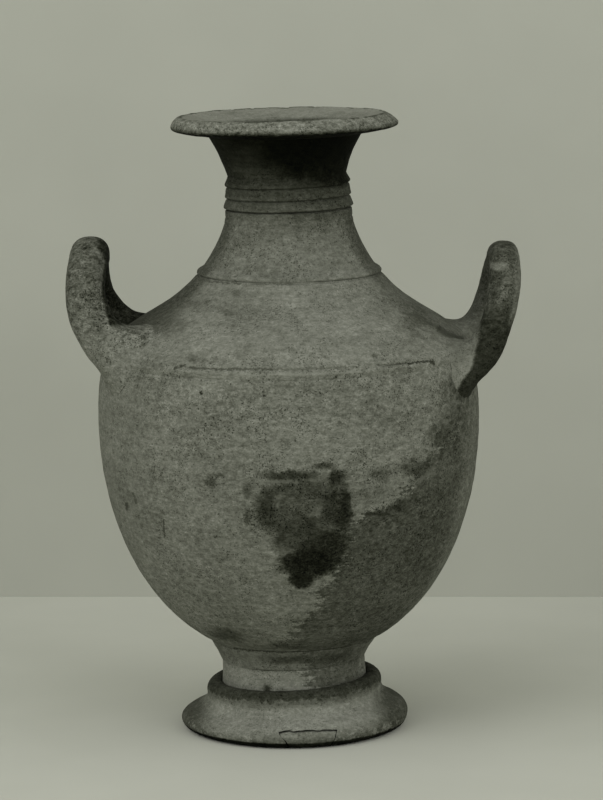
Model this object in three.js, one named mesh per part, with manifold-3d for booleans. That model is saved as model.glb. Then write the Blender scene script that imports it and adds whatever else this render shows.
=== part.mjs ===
// A footed jar of fired clay with two upright loop handles, turned in sections that seat on each other.
// Millimetres, +Z up. The origin is on the jar's axis, on the plane that the foot stands on.
// The front is towards -Y, and the handles stand out to -X and +X.
import * as THREE from "three";
import { mergeVertices } from "three/addons/utils/BufferGeometryUtils.js";
import Module from "manifold-3d";

const wasm = await Module();
wasm.setup();

// Heights of the jar and of its sections, from the foot up. The bowl has what the others leave of the jar.
const jarHeight = 151;
const footHeight = 11;
const stemHeight = 11.6;
const shoulderHeight = 17.55;
const neckHeight = 14.8;
const collarHeight = 9.1;
const mouthHeight = 10;
const lipHeight = 4.9;
const heightOverBowl = shoulderHeight + neckHeight + collarHeight + mouthHeight + lipHeight;
const bowlHeight = jarHeight - footHeight - stemHeight - heightOverBowl;

// Wall and joints
const wall = 3.6;
const jointClearance = 0.3;
const lapHeight = 2;
const lipLapHeight = 1.2;

// Foot: a spreading base that rises over a cove to a thick moulded ring, which is the socket for the stem
const footRadius = 26.4;
const footEdgeSwell = 2.3;
const footEdgeHeight = 5.5;
const footEdgeInset = 1.3;
const footCoveHollow = 2.6;
const footCoveHeight = 8.2;
const footRingRadius = 19.1;
const footRingSection = 2.4;
const footRingStart = -Math.PI / 8;
const footSocketDepth = 1.5;
const footHollowRadius = 21.2;

// Stem: a short column that widens to carry the bowl, with a turned line round it
const stemRadius = 17.9;
const stemWaistInset = 0.4;
const stemLineHeight = 6.3;
const stemLineDepth = 0.4;
const stemStep = 0.9;
const stemHollowRadius = 12.6;
const stemHollowHeight = 7;
const stemHollowTaper = 3.6;
const bossRadius = 12;
const bossHeight = 1.8;

// Bowl: the tall round belly, widest at a share of its height
const bowlBaseRadius = 20.8;
const bowlSpringAngle = THREE.MathUtils.degToRad(28.4);
const bowlSpring = 18;
const bellyRadius = 46.5;
const bellyHeightShare = 0.755;
const bellyFullness = 24.5;
const bellyUpperFullness = 8;
const seamRadius = 44.4;
const seamLean = 1.2;
const seamPull = 5;
const floorThickness = 6;
const floorFillet = 4;

// Shoulder: a nearly straight cone, rounded at the seam and hollowed towards the neck
const shoulderEdge = 0.4;
const shoulderRoundIn = 6.7;
const shoulderRoundUp = 7.9;
const shoulderHollowOut = 7.5;
const shoulderHollowDown = 9.1;
const neckBaseRadius = 22.3;

// Neck, with a half bead at its root
const neckBeadProud = 0.25;
const neckBeadHeight = 2;
const neckSpringIn = 2.9;
const neckSpringUp = 3.4;
const neckStraight = 4.6;
const neckRadius = 15.4;

// Collar: three undercut ridges, each with the height of its groove and how proud it stands of the neck
const collarRidges = [
  { grooveHeight: 1, proud: 0.25 },
  { grooveHeight: 3.7, proud: -0.2 },
  { grooveHeight: 6.6, proud: -0.25 },
];
const collarGrooveDepth = 0.75;
const ridgeUndercut = 0.35;
const ridgeCrown = 0.5;

// Mouth and lip: a flare under a thick, gently dished plate with a bevelled edge
const mouthInset = 1;
const mouthFlareRadius = 18.6;
const mouthFlareIn = 2.1;
const mouthFlareDown = 3.6;
const lipRadius = 27.6;
const lipUndersideRise = 1.7;
const lipEdgeRound = 0.6;
const lipBevel = 2.3;
const lipDish = 1.8;
const lipDishRadius = 17.4;

// Handles: how the middle of the clay roll runs, out from the belly's widest radius and up from the seam
const leftHandle = {
  azimuth: Math.PI,
  radius: 4.9,
  rootFlare: 2.7,
  rootSpan: 16.7,
  rootOut: -11,
  rootRise: -3.5,
  bendOut: 6,
  bendRise: 6.8,
  topOut: 2,
  topRise: 22.2,
};
const rightHandle = {
  azimuth: THREE.MathUtils.degToRad(1.3),
  radius: 3.9,
  rootFlare: 2.1,
  rootSpan: 16.8,
  rootOut: -8.5,
  rootRise: -4,
  bendOut: 2.8,
  bendRise: -2.3,
  topOut: 5.7,
  topRise: 20.7,
};

// A broken piece of the foot's edge, set back in its place
const fragmentHeight = 4.1;
const fragmentDepth = 2.8;
const fragmentTopWidth = 13.6;
const fragmentBottomWidth = 9.4;
const fragmentOffset = 3.2;
const fragmentLean = 0.8;

// Fineness of the surfaces
const turningSides = 48;
const handleSides = 16;
const handleSteps = 26;

// Levels at which the sections meet
const stemLevel = footHeight;
const bowlLevel = stemLevel + stemHeight;
const seamLevel = bowlLevel + bowlHeight;
const neckLevel = seamLevel + shoulderHeight;
const collarLevel = neckLevel + neckHeight;
const mouthLevel = collarLevel + collarHeight;
const lipLevel = mouthLevel + mouthHeight;
const floorLevel = bowlLevel + floorThickness;

const point = (radius, height) => new THREE.Vector2(radius, height);

function bend(steps, ...controls) {
  return new THREE.CubicBezierCurve(...controls).getPoints(steps);
}

// Several stretches as one line, without the points that two stretches share
function joinLines(...lines) {
  return lines.flat().filter((p, i, all) => i === 0 || !p.equals(all[i - 1]));
}

// Radius of a rising line at a height
function radiusAt(line, height) {
  const next = line.findIndex((p) => p.y > height);
  const low = line[next - 1];
  const high = line[next];
  return THREE.MathUtils.mapLinear(height, low.y, high.y, low.x, high.x);
}

// The stretch of a rising line between two heights
function between(line, low, high) {
  const inner = line.filter((p) => p.y > low && p.y < high);
  return [point(radiusAt(line, low), low), ...inner, point(radiusAt(line, high), high)];
}

// A line moved sideways by a distance, towards the axis where that is positive, with mitred corners
function offsetLine(line, distance) {
  const normals = line.slice(1).map((p, i) => {
    const along = p.clone().sub(line[i]).normalize();
    return point(-along.y, along.x);
  });
  return line.map((p, i) => {
    const before = normals[Math.max(i - 1, 0)];
    const after = normals[Math.min(i, normals.length - 1)];
    const mitre = before.clone().add(after).normalize();
    return p.clone().addScaledVector(mitre, distance / mitre.dot(before));
  });
}

// A closed outline in radius and height, anticlockwise, turned about the jar's axis
function turned(outline) {
  const geometry = new THREE.LatheGeometry([...outline, outline[0]], turningSides);
  return geometry.rotateX(Math.PI / 2);
}

// A closed mesh as a solid that can be cut, with shared corners merged and faces without area left out
function toSolid(geometry) {
  const bare = geometry.clone();
  bare.deleteAttribute("normal");
  bare.deleteAttribute("uv");
  const merged = mergeVertices(bare, 1e-4);
  const corners = [];
  for (let i = 0; i < merged.index.count; i += 3) {
    const [a, b, c] = merged.index.array.slice(i, i + 3);
    if (a !== b && b !== c && c !== a) corners.push(a, b, c);
  }
  return new wasm.Manifold(new wasm.Mesh({
    numProp: 3,
    vertProperties: new Float32Array(merged.attributes.position.array),
    triVerts: new Uint32Array(corners),
  }));
}

function fromSolid(solid) {
  const { vertProperties, triVerts } = solid.getMesh();
  const geometry = new THREE.BufferGeometry();
  geometry.setAttribute("position", new THREE.BufferAttribute(vertProperties, 3));
  geometry.setIndex(new THREE.BufferAttribute(triVerts, 1));
  geometry.computeVertexNormals();
  return geometry;
}

// Lines of the wall: the smooth outside of each section, and the one inside face that they share
const spring = point(Math.cos(bowlSpringAngle), Math.sin(bowlSpringAngle)).multiplyScalar(bowlSpring);
const widestLevel = bowlLevel + bowlHeight * bellyHeightShare;
const bowlLine = joinLines(
  bend(
    8,
    point(bowlBaseRadius, bowlLevel),
    point(bowlBaseRadius + spring.x, bowlLevel + spring.y),
    point(bellyRadius, widestLevel - bellyFullness),
    point(bellyRadius, widestLevel),
  ),
  bend(
    3,
    point(bellyRadius, widestLevel),
    point(bellyRadius, widestLevel + bellyUpperFullness),
    point(seamRadius + seamLean, seamLevel - seamPull),
    point(seamRadius, seamLevel),
  ),
);
const shoulderLine = bend(
  5,
  point(seamRadius, seamLevel),
  point(seamRadius - shoulderRoundIn, seamLevel + shoulderRoundUp),
  point(neckBaseRadius + shoulderHollowOut, neckLevel - shoulderHollowDown),
  point(neckBaseRadius, neckLevel),
);
const shoulderOutside = [point(seamRadius + shoulderEdge, seamLevel), ...shoulderLine.slice(1)];
const neckLine = bend(
  5,
  point(neckBaseRadius, neckLevel),
  point(neckBaseRadius - neckSpringIn, neckLevel + neckSpringUp),
  point(neckRadius, collarLevel - neckStraight),
  point(neckRadius, collarLevel),
);
const mouthLine = bend(
  4,
  point(neckRadius - mouthInset, mouthLevel),
  point(neckRadius, mouthLevel + mouthFlareDown),
  point(mouthFlareRadius - mouthFlareIn, lipLevel - mouthFlareDown),
  point(mouthFlareRadius, lipLevel),
);
const outsideLine = joinLines(bowlLine, shoulderLine, neckLine, mouthLine);
const insideLine = offsetLine(outsideLine, wall);

// At each joint the upper section's spigot hangs inside a rebate of the lower one.
// The spigot takes the inner half of the wall, and the outer half is the flat seat.
function splitRadius(level) {
  return (radiusAt(outsideLine, level) + radiusAt(insideLine, level)) / 2;
}

function spigot(level) {
  return [
    point(radiusAt(insideLine, level), level - lapHeight),
    point(splitRadius(level), level - lapHeight),
    point(splitRadius(level), level),
  ];
}

function rebate(level) {
  const floor = level - lapHeight - jointClearance;
  const radius = splitRadius(level) + jointClearance;
  return [point(radius, level), point(radius, floor)];
}

// The inside face of a section, from under its top joint down to its bottom joint
function insideDown(bottom, top) {
  return between(insideLine, bottom, top - lapHeight - jointClearance).reverse();
}

function footGeometry() {
  const ringLevel = footHeight + footSocketDepth - footRingSection;
  const socketRadius = stemRadius + jointClearance;
  const socketAngle = Math.acos((socketRadius - footRingRadius) / footRingSection);
  const ring = new THREE.Path();
  ring.absarc(footRingRadius, ringLevel, footRingSection, footRingStart, socketAngle, false);
  const ringPoints = ring.getPoints(6);
  const coveRadius = ringPoints[0].x + footCoveHollow / 4;
  return turned([
    point(footHollowRadius, 0),
    ...bend(
      5,
      point(footRadius, 0),
      point(footRadius + footEdgeSwell, footEdgeHeight / 8),
      point(footRadius + footEdgeSwell, footEdgeHeight * 3 / 4),
      point(footRadius - footEdgeInset, footEdgeHeight),
    ),
    ...new THREE.QuadraticBezierCurve(
      point(footRadius - footEdgeInset, footEdgeHeight),
      point(coveRadius, footCoveHeight - footCoveHollow / 2),
      point(coveRadius, footCoveHeight),
    ).getPoints(4).slice(1),
    ...ringPoints,
    point(socketRadius, footHeight),
    point(stemHollowRadius, footHeight),
  ]);
}

function stemGeometry() {
  const waist = stemRadius - stemWaistInset;
  const lineLevel = stemLevel + stemLineHeight;
  return turned([
    point(0, stemLevel + stemHollowHeight),
    point(stemHollowRadius - stemHollowTaper, stemLevel + stemHollowHeight),
    point(stemHollowRadius, stemLevel),
    point(stemRadius, stemLevel),
    point(waist, lineLevel - stemLineDepth),
    point(waist - stemLineDepth, lineLevel),
    ...new THREE.QuadraticBezierCurve(
      point(waist + stemStep, lineLevel + stemLineDepth),
      point(waist + stemStep, bowlLevel - stemLineHeight / 2),
      point(bowlBaseRadius, bowlLevel),
    ).getPoints(4),
    point(bossRadius, bowlLevel),
    point(bossRadius, bowlLevel + bossHeight),
    point(0, bowlLevel + bossHeight),
  ]);
}

function bowlGeometry() {
  const recessRadius = bossRadius + jointClearance;
  const recessLevel = bowlLevel + bossHeight + jointClearance;
  const floorRadius = radiusAt(insideLine, floorLevel);
  const filletLevel = floorLevel + floorFillet;
  return turned([
    point(0, recessLevel),
    point(recessRadius, recessLevel),
    point(recessRadius, bowlLevel),
    ...bowlLine,
    ...rebate(seamLevel),
    ...insideDown(filletLevel, seamLevel),
    ...new THREE.QuadraticBezierCurve(
      point(radiusAt(insideLine, filletLevel), filletLevel),
      point(floorRadius, floorLevel),
      point(floorRadius - floorFillet, floorLevel),
    ).getPoints(3).slice(1),
    point(0, floorLevel),
  ]);
}

function shoulderGeometry() {
  return turned([
    ...spigot(seamLevel),
    ...shoulderOutside,
    ...rebate(neckLevel),
    ...insideDown(seamLevel, neckLevel),
  ]);
}

function neckGeometry() {
  const beadTop = neckLevel + neckBeadHeight;
  return turned([
    ...spigot(neckLevel),
    ...bend(
      3,
      point(neckBaseRadius + neckBeadProud, neckLevel),
      point(neckBaseRadius + neckBeadProud, neckLevel + neckBeadHeight / 2),
      point(neckBaseRadius, beadTop - neckBeadHeight / 4),
      point(radiusAt(neckLine, beadTop), beadTop),
    ),
    ...neckLine.filter((p) => p.y > beadTop),
    ...rebate(collarLevel),
    ...insideDown(neckLevel, collarLevel),
  ]);
}

function collarGeometry() {
  const ridges = collarRidges.flatMap(({ grooveHeight, proud }) => {
    const groove = collarLevel + grooveHeight;
    return [
      point(neckRadius - collarGrooveDepth, groove),
      point(neckRadius + proud, groove + ridgeUndercut),
      point(neckRadius + proud, groove + ridgeUndercut + ridgeCrown),
    ];
  });
  return turned([
    ...spigot(collarLevel),
    point(neckRadius, collarLevel),
    ...ridges,
    point(neckRadius - mouthInset, mouthLevel),
    ...rebate(mouthLevel),
    ...insideDown(collarLevel, mouthLevel),
  ]);
}

// The mouth's spigot stands up into the lip, because the wall flares outwards here
const lipLapRadius = splitRadius(lipLevel - lapHeight) + wall / 4;

function mouthGeometry() {
  const lapTop = lipLevel + lipLapHeight;
  return turned([
    ...spigot(mouthLevel),
    ...mouthLine,
    point(lipLapRadius, lipLevel),
    point(lipLapRadius, lapTop),
    ...between(insideLine, mouthLevel, lapTop).reverse(),
  ]);
}

function lipGeometry() {
  const rebateLevel = lipLevel + lipLapHeight + jointClearance;
  const rebateRadius = lipLapRadius + jointClearance;
  const throatRadius = radiusAt(insideLine, rebateLevel);
  const edgeLevel = lipLevel + lipUndersideRise;
  const topLevel = lipLevel + lipHeight;
  const dishLevel = topLevel - lipDish;
  return turned([
    point(rebateRadius, lipLevel),
    point(mouthFlareRadius, lipLevel),
    point(lipRadius - lipEdgeRound, edgeLevel),
    point(lipRadius, edgeLevel + lipEdgeRound),
    point(lipRadius - lipBevel, topLevel),
    ...new THREE.QuadraticBezierCurve(
      point(lipDishRadius, dishLevel),
      point(throatRadius, dishLevel),
      point(throatRadius, rebateLevel),
    ).getPoints(3),
    point(rebateRadius, rebateLevel),
  ]);
}

// A clay roll along an arch, with the roots spread where they meet the wall.
// Outwards and up, it follows a bend from the root to the crown. Seen from outside, it is half an ellipse.
function handleGeometry(size) {
  const lean = new THREE.QuadraticBezierCurve(
    point(bellyRadius + size.rootOut, seamLevel + size.rootRise),
    point(bellyRadius + size.bendOut, seamLevel + size.bendRise),
    point(bellyRadius + size.topOut, seamLevel + size.topRise),
  );
  const centres = Array.from({ length: handleSteps + 1 }, (_, i) => {
    const angle = Math.PI * i / handleSteps;
    const place = lean.getPoint(Math.sin(angle));
    const climb = (place.y - lean.v0.y) / (lean.v2.y - lean.v0.y);
    const aside = size.rootSpan * Math.sqrt(Math.max(1 - climb ** 2, 0));
    return new THREE.Vector3(place.x, -aside * Math.sign(Math.cos(angle)), place.y);
  });
  const outwards = new THREE.Vector3(1, 0, 0);
  const positions = [];
  centres.forEach((centre, i) => {
    const rise = Math.sin(Math.PI * i / handleSteps);
    const radius = size.radius + size.rootFlare * (1 - rise) ** 3;
    const ahead = centres[Math.min(i + 1, handleSteps)];
    const along = ahead.clone().sub(centres[Math.max(i - 1, 0)]).normalize();
    const across = along.clone().cross(outwards).normalize();
    const upright = along.clone().cross(across);
    for (let j = 0; j < handleSides; j += 1) {
      const turn = 2 * Math.PI * j / handleSides;
      const corner = centre.clone();
      corner.addScaledVector(across, radius * Math.cos(turn));
      corner.addScaledVector(upright, radius * Math.sin(turn));
      positions.push(...corner);
    }
  });
  positions.push(...centres[0], ...centres[handleSteps]);
  const firstCap = handleSides * (handleSteps + 1);
  const index = [];
  for (let j = 0; j < handleSides; j += 1) {
    const next = (j + 1) % handleSides;
    const last = handleSides * handleSteps;
    index.push(firstCap, next, j, firstCap + 1, last + j, last + next);
    for (let i = 0; i < handleSteps; i += 1) {
      const low = handleSides * i;
      const high = low + handleSides;
      index.push(low + j, low + next, high + j, low + next, high + next, high + j);
    }
  }
  const roll = new THREE.BufferGeometry();
  roll.setAttribute("position", new THREE.Float32BufferAttribute(positions, 3));
  roll.setIndex(index);
  roll.rotateZ(size.azimuth);
  const skin = offsetLine([...bowlLine.slice(0, -1), ...shoulderOutside], -jointClearance);
  const body = turned([point(0, skin[0].y), ...skin, point(0, skin[skin.length - 1].y)]);
  return fromSolid(toSolid(roll).subtract(toSolid(body)));
}

// The block that the broken piece is cut with, and, grown by a clearance, the notch that it sits in
function fragmentBlock(grow) {
  const middle = fragmentOffset;
  const low = middle + fragmentLean;
  const face = new THREE.Shape([
    point(low - fragmentBottomWidth / 2 - grow, -footEdgeHeight),
    point(low + fragmentBottomWidth / 2 + grow, -footEdgeHeight),
    point(low + fragmentBottomWidth / 2 + grow, 0),
    point(middle + fragmentTopWidth / 2 + grow, fragmentHeight + grow),
    point(middle - fragmentTopWidth / 2 - grow, fragmentHeight + grow),
    point(low - fragmentBottomWidth / 2 - grow, 0),
  ]);
  const back = footRadius - fragmentDepth - grow;
  const block = new THREE.ExtrudeGeometry(face, { depth: footRadius, bevelEnabled: false });
  return toSolid(block.rotateX(Math.PI / 2).translate(0, -back, 0));
}

const wholeFoot = toSolid(footGeometry());
const clay = (color, roughness) => new THREE.MeshStandardMaterial({ color, roughness, metalness: 0 });
const bodyClay = clay(0x75756a, 0.92);
const footClay = clay(0x7f7f74, 0.9);
const lipClay = clay(0x82827a, 0.94);
const handleClay = clay(0x6c6c62, 0.9);
const fragmentClay = clay(0x6a6a60, 0.92);

const sections = [
  ["foot", fromSolid(wholeFoot.subtract(fragmentBlock(jointClearance))), footClay],
  ["foot_fragment", fromSolid(wholeFoot.intersect(fragmentBlock(0))), fragmentClay],
  ["stem", stemGeometry(), bodyClay],
  ["belly_bowl", bowlGeometry(), bodyClay],
  ["shoulder", shoulderGeometry(), bodyClay],
  ["neck", neckGeometry(), bodyClay],
  ["neck_collar", collarGeometry(), bodyClay],
  ["mouth", mouthGeometry(), bodyClay],
  ["lip", lipGeometry(), lipClay],
  ["handle_left", handleGeometry(leftHandle), handleClay],
  ["handle_right", handleGeometry(rightHandle), handleClay],
];

const jar = new THREE.Group();
for (const [name, geometry, material] of sections) {
  const mesh = new THREE.Mesh(geometry, material);
  mesh.name = name;
  jar.add(mesh);
}

export default jar;
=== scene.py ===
"""A small two-handled jar of old fired clay, dressed over its CAD frame.

Sizes are in millimetres until a mesh is made. The jar's axis is Z and its front is towards -Y.
Brightness is written as a tone: the grey level, out of 255, that a surface shows in plain light.
"""
import logging
import math
from dataclasses import dataclass, field
from enum import Enum
from typing import Sequence

import bpy
import numpy as np
from mathutils import Matrix, Vector


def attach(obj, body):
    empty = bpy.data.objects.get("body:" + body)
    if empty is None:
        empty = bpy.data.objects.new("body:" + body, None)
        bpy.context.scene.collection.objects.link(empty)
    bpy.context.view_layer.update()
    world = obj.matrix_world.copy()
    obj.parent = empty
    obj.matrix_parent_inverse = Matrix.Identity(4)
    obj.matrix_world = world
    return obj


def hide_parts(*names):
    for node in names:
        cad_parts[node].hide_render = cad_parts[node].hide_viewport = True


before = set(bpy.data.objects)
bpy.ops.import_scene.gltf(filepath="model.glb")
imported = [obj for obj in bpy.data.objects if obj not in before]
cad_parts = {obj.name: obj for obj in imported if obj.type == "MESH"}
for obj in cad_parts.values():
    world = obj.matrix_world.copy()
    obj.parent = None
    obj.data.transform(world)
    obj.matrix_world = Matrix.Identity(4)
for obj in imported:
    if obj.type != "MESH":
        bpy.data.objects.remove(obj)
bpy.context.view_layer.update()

MM = 0.001
LOG = logging.getLogger("jar")

Pair = tuple[float, float]
Triple = tuple[float, float, float]
Table = tuple[Pair, ...]

# Levels at which the sections of the jar meet, in millimetres from the table
STEM_LEVEL = 11.0
BOWL_LEVEL = 22.6
SEAM_LEVEL = 94.65
NECK_LEVEL = 112.2
COLLAR_LEVEL = 127.0
MOUTH_LEVEL = 136.1
LIP_LEVEL = 146.1
TOP_LEVEL = 151.0

# Radii of the outside at the same levels
STEM_RADIUS = 17.9
BOWL_RADIUS = 20.8
SEAM_RADIUS = 44.4
NECK_RADIUS = 22.3
COLLAR_RADIUS = 15.4
MOUTH_RADIUS = 14.4
LIP_RADIUS = 18.6

# Distances from a fine ring at which an outline gets extra points, and how close two points may be
NEAR_A_RING = np.array([-0.6, -0.42, -0.28, -0.16, -0.06, 0.06, 0.16, 0.28, 0.42, 0.6])
CLOSEST = 0.03

# Corners sharper than this many degrees are shaded sharp
SHARP_ANGLE = 42.0


# Lines
def line_of(*points: Pair) -> np.ndarray:
    """A line through points given as (radius, height)."""
    return np.array(points, dtype=float)


def bend(steps: int, *controls: Pair) -> np.ndarray:
    """A Bezier curve: the sum over k of C(n, k) t^k (1 - t)^(n - k) times control point k.

    Args:
        steps: How many stretches the curve is cut into.
        controls: Three or four control points as (radius, height).

    Returns:
        The points of the curve, one a row.
    """
    t = np.linspace(0.0, 1.0, steps + 1)[:, None]
    degree = len(controls) - 1
    return sum(
        math.comb(degree, k) * t**k * (1 - t) ** (degree - k) * np.array(control, dtype=float)
        for k, control in enumerate(controls)
    )


def arc(centre: Pair, radius: float, start: float, end: float, steps: int) -> np.ndarray:
    """A circular arc: the centre plus the radius times (cos a, sin a), for angles in degrees."""
    angle = np.radians(np.linspace(start, end, steps + 1))
    return np.array(centre) + radius * np.column_stack([np.cos(angle), np.sin(angle)])


def radius_at(line: np.ndarray, height: float) -> float:
    """Radius of a rising line at a height, by straight interpolation."""
    return float(np.interp(height, line[:, 1], line[:, 0]))


def between(line: np.ndarray, low: float, high: float) -> np.ndarray:
    """The stretch of a rising line from one height to another."""
    inner = line[(line[:, 1] > low) & (line[:, 1] < high)]
    return np.vstack([[radius_at(line, low), low], inner, [radius_at(line, high), high]])


def leftward(line: np.ndarray) -> np.ndarray:
    """Unit normals to the left of a line: its direction, by differences, turned a quarter turn."""
    along = np.gradient(line, axis=0)
    along /= np.linalg.norm(along, axis=1, keepdims=True)
    return np.column_stack([-along[:, 1], along[:, 0]])


def refined(line: np.ndarray, step: float, levels: Sequence[float] = ()) -> np.ndarray:
    """A line cut again at even distances along it, and finer round some levels.

    Args:
        line: The points as (radius, height).
        step: Distance between the new points.
        levels: Heights round which points are added a tenth to six tenths of a millimetre apart.

    Returns:
        The new points. The two ends stay where they are.
    """
    lengths = np.concatenate([[0.0], np.cumsum(np.linalg.norm(np.diff(line, axis=0), axis=1))])
    places = np.linspace(0.0, lengths[-1], max(2, int(lengths[-1] / step) + 1))
    rising = line[-1, 1] > line[0, 1]
    for level in levels:
        if min(line[0, 1], line[-1, 1]) - 1 < level < max(line[0, 1], line[-1, 1]) + 1:
            middle = np.interp(level if rising else -level, line[:, 1] * (1 if rising else -1), lengths)
            near = middle + NEAR_A_RING
            places = np.union1d(places, near[(near > 0) & (near < lengths[-1])])
    keep = np.concatenate([[True], np.diff(places) > CLOSEST])
    keep[-1] = True
    places = places[keep]
    return np.column_stack([np.interp(places, lengths, line[:, k]) for k in (0, 1)])


# Relief of the clay
class ClayNoise:
    """Smooth random heights in space: numbers at the corners of a lattice, blended in each cell."""

    def __init__(self, seed: int, count: int = 4096) -> None:
        """Draws the table of numbers from a seeded generator."""
        draw = np.random.default_rng(seed)
        self.count = count
        self.order = draw.permutation(count)
        self.values = draw.uniform(-1.0, 1.0, count)

    def at(self, points: np.ndarray, size: float | Triple) -> np.ndarray:
        """Noise at some points: each corner's number times 3t^2 - 2t^3 of the closeness on each axis.

        Args:
            points: Places in millimetres, x, y and z along the last axis.
            size: Size of a cell, one number or one for each axis.

        Returns:
            Values from -1 to 1.
        """
        cells = points / np.asarray(size)
        corner = np.floor(cells).astype(int)
        part = cells - corner
        part = part * part * (3 - 2 * part)
        total = np.zeros(points.shape[:-1])
        for step in np.ndindex(2, 2, 2):
            index = np.zeros(points.shape[:-1], dtype=int)
            weight = np.ones(points.shape[:-1])
            for axis in range(3):
                index = self.order[(index + corner[..., axis] + step[axis]) % self.count]
                weight = weight * (part[..., axis] if step[axis] else 1 - part[..., axis])
            total += weight * self.values[index]
        return total


NOISE = ClayNoise(seed=4021)


def rise(value: np.ndarray, low: float, high: float) -> np.ndarray:
    """0 up to low, 1 from high on, and 3t^2 - 2t^3 between them."""
    t = np.clip((value - low) / (high - low), 0.0, 1.0)
    return t * t * (3 - 2 * t)


@dataclass(frozen=True)
class Ring:
    """A turned line or bead round the jar: a bell curve of the height, stronger and weaker on its way round."""

    level: float
    height: float
    half_width: float
    unevenness: float = 0.35
    wander: float = 0.12
    wander_size: float = 14.0
    uneven_size: float = 7.0

    def at(self, points: np.ndarray) -> np.ndarray:
        """How far the surface stands out at some points: height times exp(-((z - level) / width)^2)."""
        wander = self.wander * NOISE.at(points * (1, 1, 0), self.wander_size)
        strength = 1 + self.unevenness * NOISE.at(points * (1, 1, 0) + self.level, self.uneven_size)
        return self.height * strength * np.exp(-(((points[..., 2] - self.level - wander) / self.half_width) ** 2))


@dataclass(frozen=True)
class Relief:
    """How uneven a surface of the clay is. All sizes are in millimetres."""

    swell: float = 0.08
    swell_size: float = 38.0
    lumps: float = 0.06
    lump_size: float = 8.5
    grain: float = 0.03
    grain_sizes: Pair = (2.3, 1.1)
    wheel: float = 0.035
    wheel_size: Triple = (60.0, 60.0, 1.3)
    pits: float = 0.22
    pit_size: float = 1.6
    pit_share: float = 0.55
    pit_slope: float = 0.3
    rings: tuple[Ring, ...] = ()

    def height(self, points: np.ndarray) -> np.ndarray:
        """Height of the surface over its smooth form.

        It is the sum of a long swell, lumps, two sizes of grain, flat wheel marks, the rings, and pits where
        a noise passes a threshold.

        Args:
            points: Places on the smooth form.

        Returns:
            Heights along the outward normal.
        """
        coarse, fine = self.grain_sizes
        total = self.swell * NOISE.at(points, self.swell_size) + self.lumps * NOISE.at(points + 50, self.lump_size)
        total += self.grain * (NOISE.at(points, coarse) + 0.6 * NOISE.at(points + 9, fine))
        total += self.wheel * NOISE.at(points, self.wheel_size)
        total -= self.pits * rise(NOISE.at(points + 31, self.pit_size), self.pit_share, self.pit_share + self.pit_slope)
        for ring in self.rings:
            total += ring.at(points)
        return total


WANDER = np.array([
    (0.0, 0.0), (22.0, -0.1), (50.0, -0.35), (85.0, -0.42), (100.0, -0.2), (112.0, 0.2), (127.0, 0.35),
    (134.0, 0.1), (140.0, -0.25), (146.0, -0.3), (148.6, -0.4), (151.0, -1.1),
])
TILT = np.array([
    (0.5, 0.0), (3.0, 0.02), (6.0, 0.045), (13.0, 0.045), (17.5, 0.025), (22.0, 0.0), (112.0, 0.0), (122.0, 0.0),
    (128.0, 0.014), (134.0, 0.03), (137.0, 0.022), (146.0, 0.012), (151.0, 0.012),
])


def askew(corners: np.ndarray) -> np.ndarray:
    """Sets corners where the hand-made jar has them, which isn't quite straight.

    A corner moves in x by a value that one table gives for its height, and in z by x times a value of
    another, which tilts the foot's ring, the collar and the lip. The lip also sinks a little. The foot is
    worn flat on the table, so nothing is under it.

    Args:
        corners: Places on the straight jar, one a row.

    Returns:
        The moved places.
    """
    x, z = corners[:, 0], corners[:, 2]
    sink = 0.33 * rise(z, MOUTH_LEVEL + 1, LIP_LEVEL)
    height = z + x * np.interp(z, TILT[:, 0], TILT[:, 1]) - sink
    return np.column_stack([x + np.interp(z, WANDER[:, 0], WANDER[:, 1]), corners[:, 1], np.maximum(height, 0.0)])


# Surfaces
@dataclass
class Surface:
    """A mesh in millimetres: its corners, and its faces in blocks of equal corner count."""

    corners: np.ndarray
    faces: list[np.ndarray]

    def mesh(self, name: str) -> bpy.types.Mesh:
        """A Blender mesh in metres, shaded smooth except across sharp corners."""
        mesh = bpy.data.meshes.new(name)
        faces = [face for block in self.faces for face in block.tolist()]
        mesh.from_pydata((self.corners * MM).tolist(), [], faces)
        mesh.polygons.foreach_set("use_smooth", np.ones(len(mesh.polygons), dtype=bool))
        mesh.set_sharp_from_angle(angle=math.radians(SHARP_ANGLE))
        mesh.update()
        return mesh


@dataclass(frozen=True)
class Run:
    """One stretch of an outline, and how much of the relief it takes."""

    line: np.ndarray
    step: float = 2.5
    relief: float = 0.0
    levels: tuple[float, ...] = ()


def tube_faces(rows: int, columns: int, closed: bool) -> np.ndarray:
    """Quads of a grid whose columns run round it, and whose rows are joined to a ring where it is closed."""
    row = np.arange(rows if closed else rows - 1)[:, None]
    column = np.arange(columns)[None, :]
    low, high = row * columns, (row + 1) % rows * columns
    after = (column + 1) % columns
    return np.stack([low + column, low + after, high + after, high + column], axis=-1).reshape(-1, 4)


def fan_faces(ring: np.ndarray, pole: int, outward: bool) -> np.ndarray:
    """Triangles from a ring of corners to one corner in its middle."""
    after = np.roll(ring, -1)
    pair = (ring, after) if outward else (after, ring)
    return np.column_stack([*pair, np.full(len(ring), pole)])


def capped(grid: np.ndarray, inside_out: bool = False) -> Surface:
    """A tube of corners with a fan over each end.

    Args:
        grid: The corners, by row along the tube and column round it.
        inside_out: Turns all faces round, for a tube whose columns run the other way.

    Returns:
        The closed surface.
    """
    rows, columns = grid.shape[:2]
    ring, pole = np.arange(columns), rows * columns
    tube = tube_faces(rows, columns, closed=False)
    faces = [
        tube[:, ::-1] if inside_out else tube,
        fan_faces(ring, pole, outward=inside_out),
        fan_faces(ring + (rows - 1) * columns, pole + 1, outward=not inside_out),
    ]
    return Surface(np.vstack([grid.reshape(-1, 3), grid[[0, -1]].mean(axis=1)]), faces)


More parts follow.
